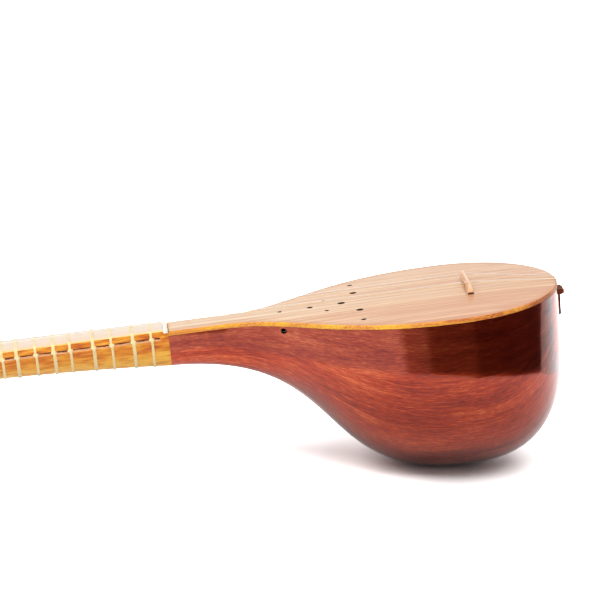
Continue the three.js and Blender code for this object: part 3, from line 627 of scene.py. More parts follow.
def rib_tree():
    """A grid bent into a rib between two angles."""
    tree, given = new_tree("rib", [
        ("Edge line", "NodeSocketObject"), ("Keel line", "NodeSocketObject"),
        ("Rows", "NodeSocketInt"), ("Steps across", "NodeSocketInt"),
        ("From", "NodeSocketFloat"), ("To", "NodeSocketFloat"),
        ("Board", "NodeSocketFloat"), ("Stave", "NodeSocketFloat"),
        ("Material", "NodeSocketMaterial"),
    ])
    grid = add(tree, "GeometryNodeMeshGrid", {
        "Vertices X": given["Rows"], "Vertices Y": given["Steps across"],
    })
    place = add(tree, "GeometryNodeInputPosition").outputs[0]
    flat = xyz(tree, place)
    last_row = math_node(tree, "SUBTRACT", given["Rows"], 1.0)
    row_share = math_node(tree, "ADD", flat[0], 0.5)
    row = math_node(tree, "ROUND", math_node(tree, "MULTIPLY", row_share, last_row))
    share = math_node(tree, "ADD", flat[1], 0.5)

    def read(line):
        source = add(tree, "GeometryNodeObjectInfo", {"Object": line}).outputs["Geometry"]
        inputs = {"Geometry": source, "Value": place, "Index": row}
        return add(tree, "GeometryNodeSampleIndex", inputs, data_type="FLOAT_VECTOR").outputs[0]

    def point(angle):
        node = add(tree, "GeometryNodeGroup", node_tree=bowl_point)
        inputs = {"Edge": edge, "Keel": keel, "Angle": angle, "Board": given["Board"]}
        for key, value in inputs.items():
            tree.links.new(value, node.inputs[key])
        return node.outputs[0]

    edge, keel = read(given["Edge line"]), read(given["Keel line"])
    sweep = math_node(tree, "SUBTRACT", given["To"], given["From"])
    angle = math_node(tree, "ADD", given["From"], math_node(tree, "MULTIPLY", sweep, share))
    width = vector_node(tree, "DISTANCE", point(given["From"]), point(given["To"]), "Value")
    across = math_node(tree, "MULTIPLY", math_node(tree, "SUBTRACT", share, 0.5), width)
    grain = vector_of(tree, xyz(tree, keel)[2], across, given["Stave"])
    stored = with_grain(tree, grid.outputs["Mesh"], grain)
    bent = add(tree, "GeometryNodeSetPosition", {"Geometry": stored, "Position": point(angle)})
    turned = add(tree, "GeometryNodeFlipFaces", {0: bent.outputs[0]})
    return end_tree(tree, turned.outputs[0], given["Material"])


def run_tree(holder, tree, values):
    """Adds a node tree to an object, with each input set by its identifier."""
    modifier = holder.modifiers.new(tree.name, "NODES")
    modifier.node_group = tree
    for item in tree.interface.items_tree:
        if item.in_out == "INPUT" and item.name in values:
            modifier[item.identifier] = values[item.name]
    return modifier


bowl_point = bowl_point_group()
rib_nodes = rib_tree()
print("nodes in the rib tree:", len(rib_nodes.nodes))

# %% [markdown]
# ## Building the ribs
# The two lines become helper objects that the tree can read. Each vertex keeps its running length in
# z, which the grain uses. A Solidify modifier gives the rib its wall.

# %% Nine ribs
STEPS_ACROSS_RIB = 13
STAVE_STEP = 41.0
SIDE_HOLE_PLACE = 0.2881 * BODY_LENGTH
SIDE_HOLE_BELOW = 6.0
SIDE_HOLE_RADIUS = 2.0
SIDE_DRILL_LENGTH = 20


def line_object(name, line):
    """A helper object with one vertex for each row."""
    mesh = bpy.data.meshes.new(name)
    mesh.from_pydata([(x, y, run) for (x, y), run in zip(line, running_lengths(line))],
                     [(i, i + 1) for i in range(len(line) - 1)], [])
    helper = bpy.data.objects.new(name, mesh)
    scene_objects.link(helper)
    return helper


def half_width(x):
    """The soundboard's half width at a place along it."""
    for (x0, y0), (x1, y1) in zip(board_line, board_line[1:]):
        if x <= x1:
            return y0 + (y1 - y0) * max(x - x0, 0) / max(x1 - x0, 1e-9)
    return board_line[-1][1]


def drilled(mesh, drills):
    """The mesh with round holes. Its new vertices take their grain from their neighbours."""
    holder = holder_of(mesh)
    known = KDTree(len(mesh.vertices))
    grains = [tuple(item.vector) for item in mesh.attributes["grain"].data]
    for index, vertex in enumerate(mesh.vertices):
        known.insert(vertex.co, index)
    known.balance()
    for drill in drills:
        modifier = holder.modifiers.new("drill", "BOOLEAN")
        modifier.object = drill
        modifier.solver = "EXACT"
    result = settled(holder)
    for drill in drills:
        bpy.data.objects.remove(drill)
    set_grain(result, [grains[known.find(vertex.co)[1]] for vertex in result.vertices])
    return result


def drill_object(place, radius, end_radius, length, turn_matrix=Matrix.Identity(4), sides=32):
    """A tapered drill that runs along its own z."""
    work = bmesh.new()
    bmesh.ops.create_cone(work, cap_ends=True, segments=sides, radius1=radius, radius2=end_radius,
                          depth=length)
    mesh = bpy.data.meshes.new("drill")
    work.to_mesh(mesh)
    work.free()
    mesh.transform(Matrix.Translation(place) @ turn_matrix)
    return holder_of(mesh)


board_line = edge_fore + [edge_tail(step / ROWS_TAIL) for step in range(1, ROWS_TAIL + 1)]
edge_helper = line_object("edge_line", edge_line)
keel_helper = line_object("keel_line", keel_line)
seam_angle = RIB_SEAM / (BODY_WIDTH / 2)
for index in range(RIB_COUNT):
    start = index * math.pi / RIB_COUNT + (seam_angle / 2 if index > 0 else 0)
    end = (index + 1) * math.pi / RIB_COUNT - (seam_angle / 2 if index < RIB_COUNT - 1 else 0)
    holder = holder_of(bpy.data.meshes.new("rib"))
    run_tree(holder, rib_nodes, {
        "Edge line": edge_helper, "Keel line": keel_helper, "Rows": len(edge_line),
        "Steps across": STEPS_ACROSS_RIB, "From": start, "To": end, "Board": BOARD_THICKNESS,
        "Stave": index * STAVE_STEP, "Material": mulberry,
    })
    wall = holder.modifiers.new("wall", "SOLIDIFY")
    wall.thickness = RIB_WALL
    wall.offset = -1
    mesh = settled(holder)
    if index == 0:
        hole_at = (SIDE_HOLE_PLACE, -half_width(SIDE_HOLE_PLACE), -SIDE_HOLE_BELOW)
        sideways = Matrix.Rotation(math.radians(90), 4, "X")
        drill = drill_object(hole_at, SIDE_HOLE_RADIUS, SIDE_HOLE_RADIUS, SIDE_DRILL_LENGTH,
                             sideways)
        mesh = drilled(mesh, [drill])
    name = f"rib_{index + 1}"
    rib = finish_piece(f"{name}_smooth", mesh, name, "root", "mulberry", mulberry)
for helper in (edge_helper, keel_helper):
    bpy.data.objects.remove(helper)
print("triangles in the last rib:", sum(len(face.vertices) - 2 for face in rib.data.polygons))

# %% [markdown]
# ## Soundboard
# The soundboard is a thin plate, slightly crowned across. Its sound holes are small and round, and it
# has no rosette. A flat outline with holes is filled with triangles by Delaunay's rule, and each
# vertex is then lifted onto the crown. That keeps every vertex on the true surface, so the gloss stays
# even round the holes. The upper edge is rounded, and the walls of the holes are painted nearly black
# as painted shade.

# %% The soundboard's outline and holes
EDGE_ROUND = 0.9
EDGE_STEPS = 4
HOLE_SIDES = 28
BOARD_SPACING = 4.0
POINT_ROOM = BOARD_SPACING / 3
HOLE_ALONG_SHARES = (0.2886, 0.3661, 0.4473, 0.4052, 0.4863, 0.4863)
HOLE_ASIDE_SHARES = (0, 0, 0, 0.1802, 0.3041, 0.6181)
HOLE_RADII = (1.6, 2.1, 2.7, 1.5, 2.5, 1.8)


def crown(x, y):
    """The soundboard's height above its edge."""
    half = max(half_width(x), 1e-6)
    return BOARD_CROWN * half / (BODY_WIDTH / 2) * (1 - min(abs(y) / half, 1) ** 2)


def inset(outline, depth):
    """A closed outline moved inwards."""
    count = len(outline)
    moved = []
    for i, (x, y) in enumerate(outline):
        x0, y0 = outline[i - 1]
        x1, y1 = outline[(i + 1) % count]
        length = math.hypot(x1 - x0, y1 - y0)
        moved.append((x - (y1 - y0) / length * depth, y + (x1 - x0) / length * depth))
    return moved


near_side = [(max(x, GLUE), -y) for x, y in board_line[:-1]]
outline = near_side + [(BODY_LENGTH, 0.0)] + [(x, -y) for x, y in reversed(near_side)]
holes = []
for along_share, aside_share, radius in zip(HOLE_ALONG_SHARES, HOLE_ASIDE_SHARES, HOLE_RADII):
    aside = aside_share * BODY_WIDTH / 2
    for y in ((-aside, aside) if aside else (0,)):
        holes.append((along_share * BODY_LENGTH, y, radius))
print("outline points:", len(outline), "sound holes:", len(holes))


# %% The soundboard's mesh
def board_mesh():
    """Top, rounded edge, underside and the walls of the holes."""
    rings = []
    for step in range(EDGE_STEPS + 1):
        angle = step / EDGE_STEPS * math.pi / 2
        rings.append((inset(outline, EDGE_ROUND * (1 - math.sin(angle))),
                      -EDGE_ROUND * (1 - math.cos(angle))))
    rings.append((outline, -(BOARD_THICKNESS - GLUE)))
    inner = rings[0][0]
    points = [Vector(point) for point in inner]
    loops = [list(range(len(inner)))]
    for x, y, radius in holes:
        loops.append(list(range(len(points), len(points) + HOLE_SIDES)))
        points += [Vector((x + radius * math.cos(2 * math.pi * k / HOLE_SIDES),
                           y + radius * math.sin(2 * math.pi * k / HOLE_SIDES)))
                   for k in range(HOLE_SIDES)]
    for column in range(1, int(BODY_LENGTH / BOARD_SPACING)):
        x = column * BOARD_SPACING
        rows = int(half_width(x) / BOARD_SPACING)
        for row in range(-rows, rows + 1):
            y = row * BOARD_SPACING
            clear = all(math.hypot(x - hole_x, y - hole_y) > radius + POINT_ROOM
                        for hole_x, hole_y, radius in holes)
            if clear and abs(y) < half_width(x) - EDGE_ROUND - POINT_ROOM:
                points.append(Vector((x, y)))
    edges = [(a, b) for loop in loops for a, b in zip(loop, loop[1:] + loop[:1])]
    flat, _, faces, source, _, _ = delaunay_2d_cdt(points, edges, [], 1, 1e-5)
    place_of = {old: new for new, olds in enumerate(source) for old in olds}

    def in_hole(face):
        middle = sum((flat[i] for i in face), Vector((0, 0))) / len(face)
        return any(math.hypot(middle.x - x, middle.y - y) < radius * 0.99 for x, y, radius in holes)

    kept = [face for face in faces if not in_hole(face)]
    below = BOARD_THICKNESS - GLUE
    top = [(p.x, p.y, crown(p.x, p.y)) for p in flat]
    count = len(top)
    vertices = top + [(x, y, z - below) for x, y, z in top]
    mesh_faces = [tuple(face) for face in kept]
    mesh_faces += [tuple(i + count for i in reversed(face)) for face in kept]
    kinds = [0] * len(mesh_faces)

    def band(upper, lower, kind):
        for i in range(len(upper)):
            j = (i + 1) % len(upper)
            mesh_faces.append((upper[i], upper[j], lower[j], lower[i]))
            kinds.append(kind)

    # Kind two paints the walls of the holes nearly black, as painted shade.
    for loop in loops[1:]:
        ring = [place_of[i] for i in loop]
        band(ring, [i + count for i in ring], 2)
    previous = [place_of[i] for i in loops[0]]
    last = [i + count for i in previous]
    for line, height in rings[1:]:
        start = len(vertices)
        vertices += [(x, y, height) for x, y in line]
        current = list(range(start, start + len(line)))
        band(previous, current, 1)
        previous = current
    band(previous, last, 1)
    mesh = bpy.data.meshes.new("soundboard")
    mesh.from_pydata(vertices, [], mesh_faces)
    mesh.polygons.foreach_set("material_index", kinds)
    outward(mesh)
    set_grain(mesh, [tuple(vertex.co) for vertex in mesh.vertices])
    return mesh


soundboard = finish_piece("soundboard_plate", board_mesh(), "soundboard", "root", "soundboard_wood",
                          board_wood, edge_wood, painted_shade_wood)
print("soundboard faces:", len(soundboard.data.polygons))

# %% [markdown]
# ## Neck
# The neck is a rounded bar that gets narrower and deeper towards the bowl. Along its near side runs
# a narrow groove, in which the frets' knots lie. It is a loft: one closed section after another along
# x, joined by faces. The groove's upper part is painted dark as painted shade, with an edge that
# wanders a little, and the lip below it is painted pale as a painted highlight.

# %% The neck's section
STRIP_LENGTH = 3.2
GROOVE_BELOW = 5.7
GROOVE_WIDTH = 2.0
GROOVE_DEPTH = 1.3
GROOVE_HEIGHT = BOARD_RISE - GROOVE_BELOW
GROOVE_STOP = -6.8
GROOVE_END = 1.6
CORNER = 0.8
LIP = 0.45
# The groove's painted shade spans these shares of its width, and its edge wanders by these waves.
GROOVE_SHADE_FROM, GROOVE_SHADE_TO = -0.12, 0.42
GROOVE_SHADE_WAVES = ((0.09, 5.3, 0), (0.07, 2.1, 1))
PAINT_ROOM = 0.1


def neck_half(x):
    """Half the neck's width."""
    return NUT_WIDTH / 2 - (NUT_WIDTH - THROAT_WIDTH) / 2 * math.exp(x / WAIST_RUN)


def neck_drop(x):
    """How far the neck's wood reaches below its flat top."""
    heel = THROAT_DEPTH + BOARD_RISE
    depth = NECK_DEPTH_AT_NUT + (heel - NECK_DEPTH_AT_NUT) * math.exp(x / HEEL_RUN)
    return depth - FINGERBOARD_THICKNESS


def loft(name, rings, grain=None):
    """A closed body through rings with equally many points."""
    count = len(rings[0])
    faces = []
    for row in range(len(rings) - 1):
        for i in range(count):
            a = row * count + i
            b = row * count + (i + 1) % count
            faces.append((a, b, b + count, a + count))
    faces.append(tuple(range(count)))
    faces.append(tuple(range((len(rings) - 1) * count, len(rings) * count)))
    mesh = bpy.data.meshes.new(name)
    mesh.from_pydata([tuple(point) for ring in rings for point in ring], [], faces)
    outward(mesh)
    turned = grain or (lambda place: place)
    set_grain(mesh, [tuple(turned(vertex.co)) for vertex in mesh.vertices])
    return mesh


def neck_ring(x, arc_steps=40, groove_steps=10):
    """The neck's section: flat top, round belly, and the groove near the top of the near side."""
    half, drop = neck_half(x), neck_drop(x)
    sunk = GROOVE_DEPTH * min(max((GROOVE_STOP + GROOVE_END - x) / GROOVE_END, 0), 1)

    def angle_at(height):
        return math.asin((NECK_TOP - height) / drop)

    top_angle = angle_at(GROOVE_HEIGHT + GROOVE_WIDTH / 2)
    low_angle = angle_at(GROOVE_HEIGHT - GROOVE_WIDTH / 2)
    lip_angle = angle_at(GROOVE_HEIGHT - GROOVE_WIDTH / 2 - LIP)
    points = [(x, -half, NECK_TOP), (x, half, NECK_TOP)]
    for step in range(1, arc_steps + 1):
        angle = step / arc_steps * (math.pi - lip_angle)
        points.append((x, half * math.cos(angle), NECK_TOP - drop * math.sin(angle)))
    for step in range(groove_steps + 1):
        share = step / groove_steps
        angle = low_angle + (top_angle - low_angle) * share
        depth = sunk * math.sin(share * math.pi) ** 0.5 if 0 < step < groove_steps else 0
        points.append((x, -half * math.cos(angle) + depth, NECK_TOP - drop * math.sin(angle)))
    middle = top_angle / 2
    points.append((x, -half * math.cos(middle), NECK_TOP - drop * math.sin(middle)))
    return points


def neck_finish(place):
    """Zero for plain wood, one for the groove's painted shade, two for its lower lip's painted
    highlight.
    """
    along_groove = HEAD_PLACE + PAINT_ROOM <= place.x <= GROOVE_STOP + GROOVE_END / 2
    if place.y > 0 or not along_groove:
        return 0
    wander = sum(size * math.sin(place.x / run + start) for size, run, start in GROOVE_SHADE_WAVES)
    rise = (place.z - GROOVE_HEIGHT) / GROOVE_WIDTH
    if GROOVE_SHADE_FROM < rise - wander < GROOVE_SHADE_TO:
        return 1
    return 2 if -0.5 - LIP / GROOVE_WIDTH < rise <= GROOVE_SHADE_FROM + wander else 0


# %% The neck's mesh
NECK_ROWS = 300
neck_places = [HEAD_PLACE * (row / NECK_ROWS) for row in range(NECK_ROWS + 1)]
neck_places += [GROOVE_STOP + GROOVE_END * step / 4 for step in range(5)]
neck_mesh = loft("neck", [neck_ring(x) for x in sorted(neck_places)])
paint_faces(neck_mesh, neck_finish)
# The dark rosewood finish paints the groove's shade, and the pale lip finish a highlight below it.
neck = finish_piece("neck_bar", neck_mesh, "neck", "root", "walnut", walnut, rosewood, lip_highlight_wood)
print("neck from", round(HEAD_PLACE, 1), "to 0 mm, faces:", len(neck.data.polygons))

# %% [markdown]
# ## Fingerboard and bone strip
# A thin pale plate lies on the neck and ends at a bone strip. Its upper corners are broken by a small
# round, which shows as a bright line along the neck. So the faces of the round are painted golden, a
# painted highlight, and the faces of the side below it in the neck's wood.

# %% The fingerboard
ROUND_STEPS = 5
NUT_LENGTH = 4
SIDE_BELOW = 0.3
ROUND_MARGIN = 0.15
STRIP_RISE = 0.6
STRIP_OVERHANG = 0.8
STRIP_STEPS = 8
STRIP_ROUND = 0.35
STRIP_CORNER = 0.6


def slab_ring(x, half, low, high, corner):
    """A flat section whose two upper corners are rounded."""
    points = [(x, -half, low), (x, half, low)]
    for side in (1, -1):
        for step in range(ROUND_STEPS + 1):
            share = step / ROUND_STEPS if side > 0 else 1 - step / ROUND_STEPS
            angle = share * math.pi / 2
            points.append((x, side * (half - corner + corner * math.cos(angle)),
                           high - corner + corner * math.sin(angle)))
    return points


def fingerboard_finish(place):
    """Zero for the pale top, one for the painted highlight on its round corner, two for the side below.
    """
    if place.z < BOARD_RISE - CORNER - SIDE_BELOW:
        return 2
    return 1 if abs(place.y) > neck_half(place.x) - CORNER - ROUND_MARGIN else 0


board_from = NUT_PLACE + GLUE
board_to = -STRIP_LENGTH - 2 * GLUE
rows = [board_from + (board_to - board_from) * i / NECK_ROWS for i in range(NECK_ROWS + 1)]
finger_mesh = loft("fingerboard", [
    slab_ring(x, neck_half(x), NECK_TOP + GLUE, BOARD_RISE, CORNER) for x in rows
])
paint_faces(finger_mesh, fingerboard_finish)
finish_piece("fingerboard_plate", finger_mesh, "fingerboard", "root", "boxwood", boxwood,
             corner_highlight_wood, walnut)

strip_half = neck_half(-STRIP_LENGTH) + STRIP_OVERHANG
strip_rows = [-STRIP_LENGTH - GLUE + STRIP_LENGTH * i / STRIP_STEPS for i in range(STRIP_STEPS + 1)]


def strip_ring(i, x):
    """The bone strip, rounded at its two long edges as well."""
    edge = min(i, STRIP_STEPS - i) / STRIP_STEPS
    lower = STRIP_ROUND * (1 - min(edge * 4, 1)) ** 2
    high = BOARD_RISE + STRIP_RISE - lower
    return slab_ring(x, strip_half - lower, NECK_TOP + GLUE, high, STRIP_CORNER)


strip_mesh = loft("end_strip", [strip_ring(i, x) for i, x in enumerate(strip_rows)])
finish_piece("bone_strip", strip_mesh, "end_strip", "root", "bone", bone)
print("fingerboard length:", round(board_to - board_from, 1))

# %% [markdown]
# ## Gut and wire along a path
# Frets and strings are both round stock that follows a path. One small node tree sweeps a circle along
# any line of points and stores how far along and how far round each vertex lies.

# %% The node tree of gut and wire
def round_stock_tree():
    """A circle swept along the incoming line."""
    tree, given = new_tree("round stock", [
        ("Line", "NodeSocketGeometry"), ("Diameter", "NodeSocketFloat"), ("Sides", "NodeSocketInt"),
        ("Material", "NodeSocketMaterial"),
    ])
    parameter = add(tree, "GeometryNodeSplineParameter").outputs
    curve = add(tree, "GeometryNodeMeshToCurve", {0: given["Line"]})
    radius = math_node(tree, "MULTIPLY", given["Diameter"], 0.5)
    circle = add(tree, "GeometryNodeCurvePrimitiveCircle",
                 {"Resolution": given["Sides"], "Radius": radius})

    def kept(geometry, value):
        node = tree.nodes.new("GeometryNodeCaptureAttribute")
        node.capture_items.new("FLOAT", "Kept")
        tree.links.new(geometry, node.inputs[0])
        tree.links.new(value, node.inputs[1])
        return node.outputs

    run = kept(curve.outputs[0], parameter["Length"])
    turned = kept(circle.outputs[0], parameter["Factor"])
    swept = add(tree, "GeometryNodeCurveToMesh", {
        "Curve": run[0], "Profile Curve": turned[0], "Fill Caps": True,
    })
    girth = math_node(tree, "MULTIPLY", given["Diameter"], math.pi)
    grain = vector_of(tree, run[1], math_node(tree, "MULTIPLY", turned[1], girth), 0.0)
    return end_tree(tree, with_grain(tree, swept.outputs[0], grain), given["Material"])


stock_nodes = round_stock_tree()


def stock_mesh(paths, diameter, sides, material):
    """Round stock along one or more paths, as one plain mesh."""
    mesh = bpy.data.meshes.new("path")
    points = [tuple(point) for path in paths for point in path]
    edges = []
    start = 0
    for path in paths:
        edges += [(start + i, start + i + 1) for i in range(len(path) - 1)]
        start += len(path)
    mesh.from_pydata(points, edges, [])
    holder = holder_of(mesh)
    run_tree(holder, stock_nodes, {"Diameter": diameter, "Sides": sides, "Material": material})
    return settled(holder)


print("nodes in the round stock tree:", len(stock_nodes.nodes))

# %% [markdown]
# ## Frets
# A fret is one length of gut. It goes three or four times round the neck, close together, and is tied
# over the groove, where the knot is out of the player's way. The path below walks round the neck's
# section while it creeps along the neck by one gut for each turn. The neck gets wider one way and
# deeper the other, so the section leaves room for the slide at both ends. A knot is two small loops
# of gut and two short ends.

# %% The frets' paths
GUT = 0.56
GUT_PITCH = 0.58
GUT_ROOM = 0.2
FRET_REACH = 3.2
GUT_SIDES = 8
THICK_TURNS = 4
THIN_TURNS = 3
STEPS_A_TURN = 44
RISE_STEPS = 8
CORNER_STEPS = 6
BELLY_STEPS = 60
KNOT_SIZES = (0.36, 0.6)
KNOT_STEPS = 40
KNOT_OUT = 1.45
KNOT_WEAVE = 0.42
KNOT_TAIL = 0.9
END_LIFTS = ((-1, 0.35), (1, -0.3))
END_OUT = 0.3
END_PLACES = (0.1, 0.4, 0.7, 1.0)
FRET_OCTAVE_SHARES = (
    0.075, 0.1167, 0.17, 0.245, 0.2875, 0.34, 0.415, 0.4542, 0.4917, 0.5333, 0.585, 0.66, 0.7025,
    0.755, 0.83, 0.8708, 0.925, 1.02, 1.0667, 1.1283, 1.19, 1.2483, 1.3347, 1.4067, 1.4975, 1.579,
)


def round_neck(x, grow):
    """The line round neck and fingerboard, starting at the groove, going up and over."""
    half = neck_half(x - FRET_REACH) + grow
    drop = neck_drop(min(x + FRET_REACH, 0)) + grow
    corner = CORNER + grow
    top = BOARD_RISE + grow
    start = math.asin((NECK_TOP - GROOVE_HEIGHT) / drop)
    points = []
    for step in range(RISE_STEPS + 1):
        angle = start * (1 - step / RISE_STEPS)
        points.append((-half * math.cos(angle), NECK_TOP - drop * math.sin(angle)))
    for side in (-1, 1):
        for step in range(CORNER_STEPS + 1):
            share = step / CORNER_STEPS if side < 0 else 1 - step / CORNER_STEPS
            angle = share * math.pi / 2
            points.append((side * (half - corner + corner * math.cos(angle)),
                           top - corner + corner * math.sin(angle)))
    for step in range(BELLY_STEPS + 1):
        angle = step / BELLY_STEPS * (math.pi - start)
        points.append((half * math.cos(angle), NECK_TOP - drop * math.sin(angle)))
    return evenly(points, STEPS_A_TURN)[:-1]


def fret_path(x, turns):
    """The winding of one fret."""
    grow = GUT_ROOM + GUT / 2
    section = round_neck(x, grow)
    start = x - turns * GUT_PITCH / 2
    count = turns * STEPS_A_TURN
    return [(start + step / STEPS_A_TURN * GUT_PITCH, *section[step % STEPS_A_TURN])
            for step in range(count + 1)]


def knot_paths(x, turns):
    """A small knot of doubled gut over the groove, and its two short ends."""
    half, drop = neck_half(x), neck_drop(x)
    angle = math.asin((NECK_TOP - GROOVE_HEIGHT) / drop)
    out = -half * math.cos(angle) - GUT_ROOM - KNOT_OUT * GUT
    knots = []
    for size in KNOT_SIZES:
        turned = [2 * math.pi * step / KNOT_STEPS for step in range(KNOT_STEPS + 1)]
        knots.append([(
            x + size * (math.sin(t) + 2 * math.sin(2 * t)),
            out + KNOT_WEAVE * math.sin(3 * t),
            GROOVE_HEIGHT + size * (math.cos(t) - 2 * math.cos(2 * t)),
        ) for t in turned])
    reach = turns * GUT_PITCH / 2 + KNOT_TAIL
    ends = []
    for side, lift in END_LIFTS:
        ends.append([(x + side * reach * share, out + END_OUT * share, GROOVE_HEIGHT + lift * share)
                     for share in END_PLACES])
    return [*knots, *ends]


# %% Twenty-six frets
for index, octaves in enumerate(FRET_OCTAVE_SHARES):
    x = NUT_PLACE + SCALE_LENGTH * (1 - 2 ** -octaves)
    turns = THICK_TURNS if index % 2 == 0 else THIN_TURNS
    mesh = stock_mesh([fret_path(x, turns), *knot_paths(x, turns)], GUT, GUT_SIDES, gut)
    name = f"fret_{index + 1}"
    finish_piece(f"{name}_gut", mesh, name, f"{name}_body", "gut", gut)
print("frets:", len(FRET_OCTAVE_SHARES), "the last one at", round(x, 1), "mm")

# %% [markdown]
# ## Nut and bridge
# Both carry the strings in shallow notches. The nut is a bone bar at the head's end of the
# fingerboard. The bridge is a small wooden bar on two feet, thin at its top, which only the strings
# hold in place. The outer tips of its feet are painted dark, a painted shadow at each foot. Both are
# drawn from the front and pushed through along x.

# %% Nut and bridge
STRING_DIAMETERS = (0.3, 0.3, 0.3, 0.45)
STRING_SHARES = (0.5, 0.16, -0.36, -0.5)
NUT_SPREAD = 17
BRIDGE_SPREAD = 27
TAIL_SPREAD = 10
NUT_RISE = 2.6
NOTCH_DEPTH = 0.9
NOTCH_WIDTH = 1.1
BRIDGE_HEIGHT = 6.8
BRIDGE_WIDTH = 44
BRIDGE_FOOT = 4.2
BRIDGE_TOP = 1.9
BRIDGE_ARCH = 3.2
BRIDGE_LEG = 8
BRIDGE_MARGIN = 0.2
# How far the painted shadow reaches in from each foot's outer end.
BRIDGE_SHADE_TIP = 0.8
ARCH_STEPS = 24
# How high that painted shadow reaches.
BRIDGE_SHADE_TIP_HEIGHT = 1.0
NUT_CORNER = 0.8
NUT_MARGIN = 1.2
NOTCH_STEPS = 6
SLICES = (-1, -0.8, 0, 0.8, 1)
SLICE_TRIM = 0.25
NUT_HIGH = BOARD_RISE + NUT_RISE
BRIDGE_GROUND = crown(BRIDGE_PLACE, 0)
BRIDGE_HIGH = BRIDGE_GROUND + GLUE + BRIDGE_HEIGHT
nut_strings = [share * NUT_SPREAD for share in STRING_SHARES]
bridge_strings = [share * BRIDGE_SPREAD for share in STRING_SHARES]
tail_strings = [share * TAIL_SPREAD for share in STRING_SHARES]


def notched_top(y_from, y_to, high, places):
    """The top line from one side to the other, with a round notch for each string."""
    points = []
    for place_y in sorted(places, reverse=y_from > y_to):
        for step in range(NOTCH_STEPS + 1):
            share = step / NOTCH_STEPS - 0.5
            y = place_y + (share if y_to > y_from else -share) * NOTCH_WIDTH
            points.append((y, high - NOTCH_DEPTH * math.cos(share * math.pi)))
    return [(y_from, high), *points, (y_to, high)]


def pushed_through(name, shape, point_at):
    """A front view (y, z) given its thickness along x, with its outer slices trimmed."""
    return loft(name, [
        [point_at(y, z, side, SLICE_TRIM if abs(side) == 1 else 0) for y, z in shape]
        for side in SLICES
    ])


def nut_point(y, z, side, trim):
    """A point of the nut, its long edges a little rounded."""
    lowered = min(z, NUT_HIGH - trim) if z > 0 else z
    return (NUT_PLACE - NUT_LENGTH / 2 + side * NUT_LENGTH / 2, y, lowered)


nut_half = neck_half(NUT_PLACE - NUT_LENGTH)
nut_side = [(nut_half, NECK_TOP + GLUE), (nut_half, NUT_HIGH - NUT_CORNER),
            (nut_half - NUT_CORNER, NUT_HIGH)]
nut_shape = nut_side + notched_top(nut_half - NUT_MARGIN, -nut_half + NUT_MARGIN, NUT_HIGH,
                                   nut_strings)
nut_shape += [(-y, z) for y, z in reversed(nut_side)]
finish_piece("bone_nut", pushed_through("nut", nut_shape, nut_point), "nut", "root", "bone", bone)


def curve(start, bend, end, steps=10):
    """A quadratic Bezier curve without its first point."""
    points = []
    for step in range(1, steps + 1):
        t = step / steps
        points.append(tuple((1 - t) ** 2 * a + 2 * (1 - t) * t * b + t * t * c
                            for a, b, c in zip(start, bend, end)))
    return points


def bridge_point(y, z, side, trim):
    """A point of the bridge, which stands on the crown and gets thinner upwards."""
    rise = z / BRIDGE_HEIGHT
    thin = 1 - rise * (1 - BRIDGE_TOP / BRIDGE_FOOT)
    foot = crown(BRIDGE_PLACE, y) * (1 - rise) + BRIDGE_GROUND * rise
    pulled = side * (BRIDGE_FOOT / 2 * thin)
    return (BRIDGE_PLACE + pulled, y, foot + GLUE + z - trim * max(rise, 0))


half = BRIDGE_WIDTH / 2
shoulder = half - BRIDGE_FOOT
bridge_shape = [(-half, 0), (-half + BRIDGE_LEG, 0)]
bridge_shape += curve((-half + BRIDGE_LEG, 0), (0, 2 * BRIDGE_ARCH), (half - BRIDGE_LEG, 0),
                      ARCH_STEPS)
bridge_shape += [(half, 0)]
bridge_shape += curve((half, 0), (half, BRIDGE_HEIGHT), (shoulder, BRIDGE_HEIGHT))
bridge_shape += notched_top(shoulder - BRIDGE_MARGIN, -shoulder + BRIDGE_MARGIN, BRIDGE_HEIGHT,
                            bridge_strings)
bridge_shape += [(-shoulder, BRIDGE_HEIGHT)]
bridge_shape += curve((-shoulder, BRIDGE_HEIGHT), (-half, BRIDGE_HEIGHT), (-half, 0))[:-1]


def bridge_finish(place):
    """One for the painted shadow at the outer end of each foot, and zero for the rest."""
    low = place.z < BRIDGE_GROUND + BRIDGE_SHADE_TIP_HEIGHT
    return 1 if low and abs(place.y) > half - BRIDGE_SHADE_TIP else 0


bridge_mesh = pushed_through("bridge", bridge_shape, bridge_point)
paint_faces(bridge_mesh, bridge_finish)
finish_piece("bridge_bar", bridge_mesh, "bridge", "root", "boxwood", bridge_wood, painted_shade_wood)
print("nut at", round(NUT_PLACE, 1), "bridge at", round(BRIDGE_PLACE, 1))

# %% [markdown]
# ## Tailpiece
# The strings start at the tail, where a dark curved plate with a hooked lip is glued to the end of the
# bowl. It follows the bowl's round end, so its section is set out from the tail's surface.

# %% The tailpiece
TAILPIECE_WIDTH = 14
TAILPIECE_DROP = 25
TAILPIECE_WALL = 1.5
HOOK_TOP = 6.8
HOOK_DEPTH = 4
HOOK_REACH = 4.2
HOOK_NOSE = -HOOK_TOP - 0.6 * HOOK_DEPTH
LIP_FLAT = 0.5 * HOOK_REACH
LIP_SLOPE = 0.2
NOSE_BEND = 0.4
NOSE_START = 0.45 * HOOK_DEPTH
NOSE_PULL = 0.8
NOSE_ROUND = 0.9
FOOT_CHAMFER = 0.8
FOOT_SHARE = 0.6
SEAT = 0.3
HALVINGS = 40
TAILPIECE_STEPS = 28


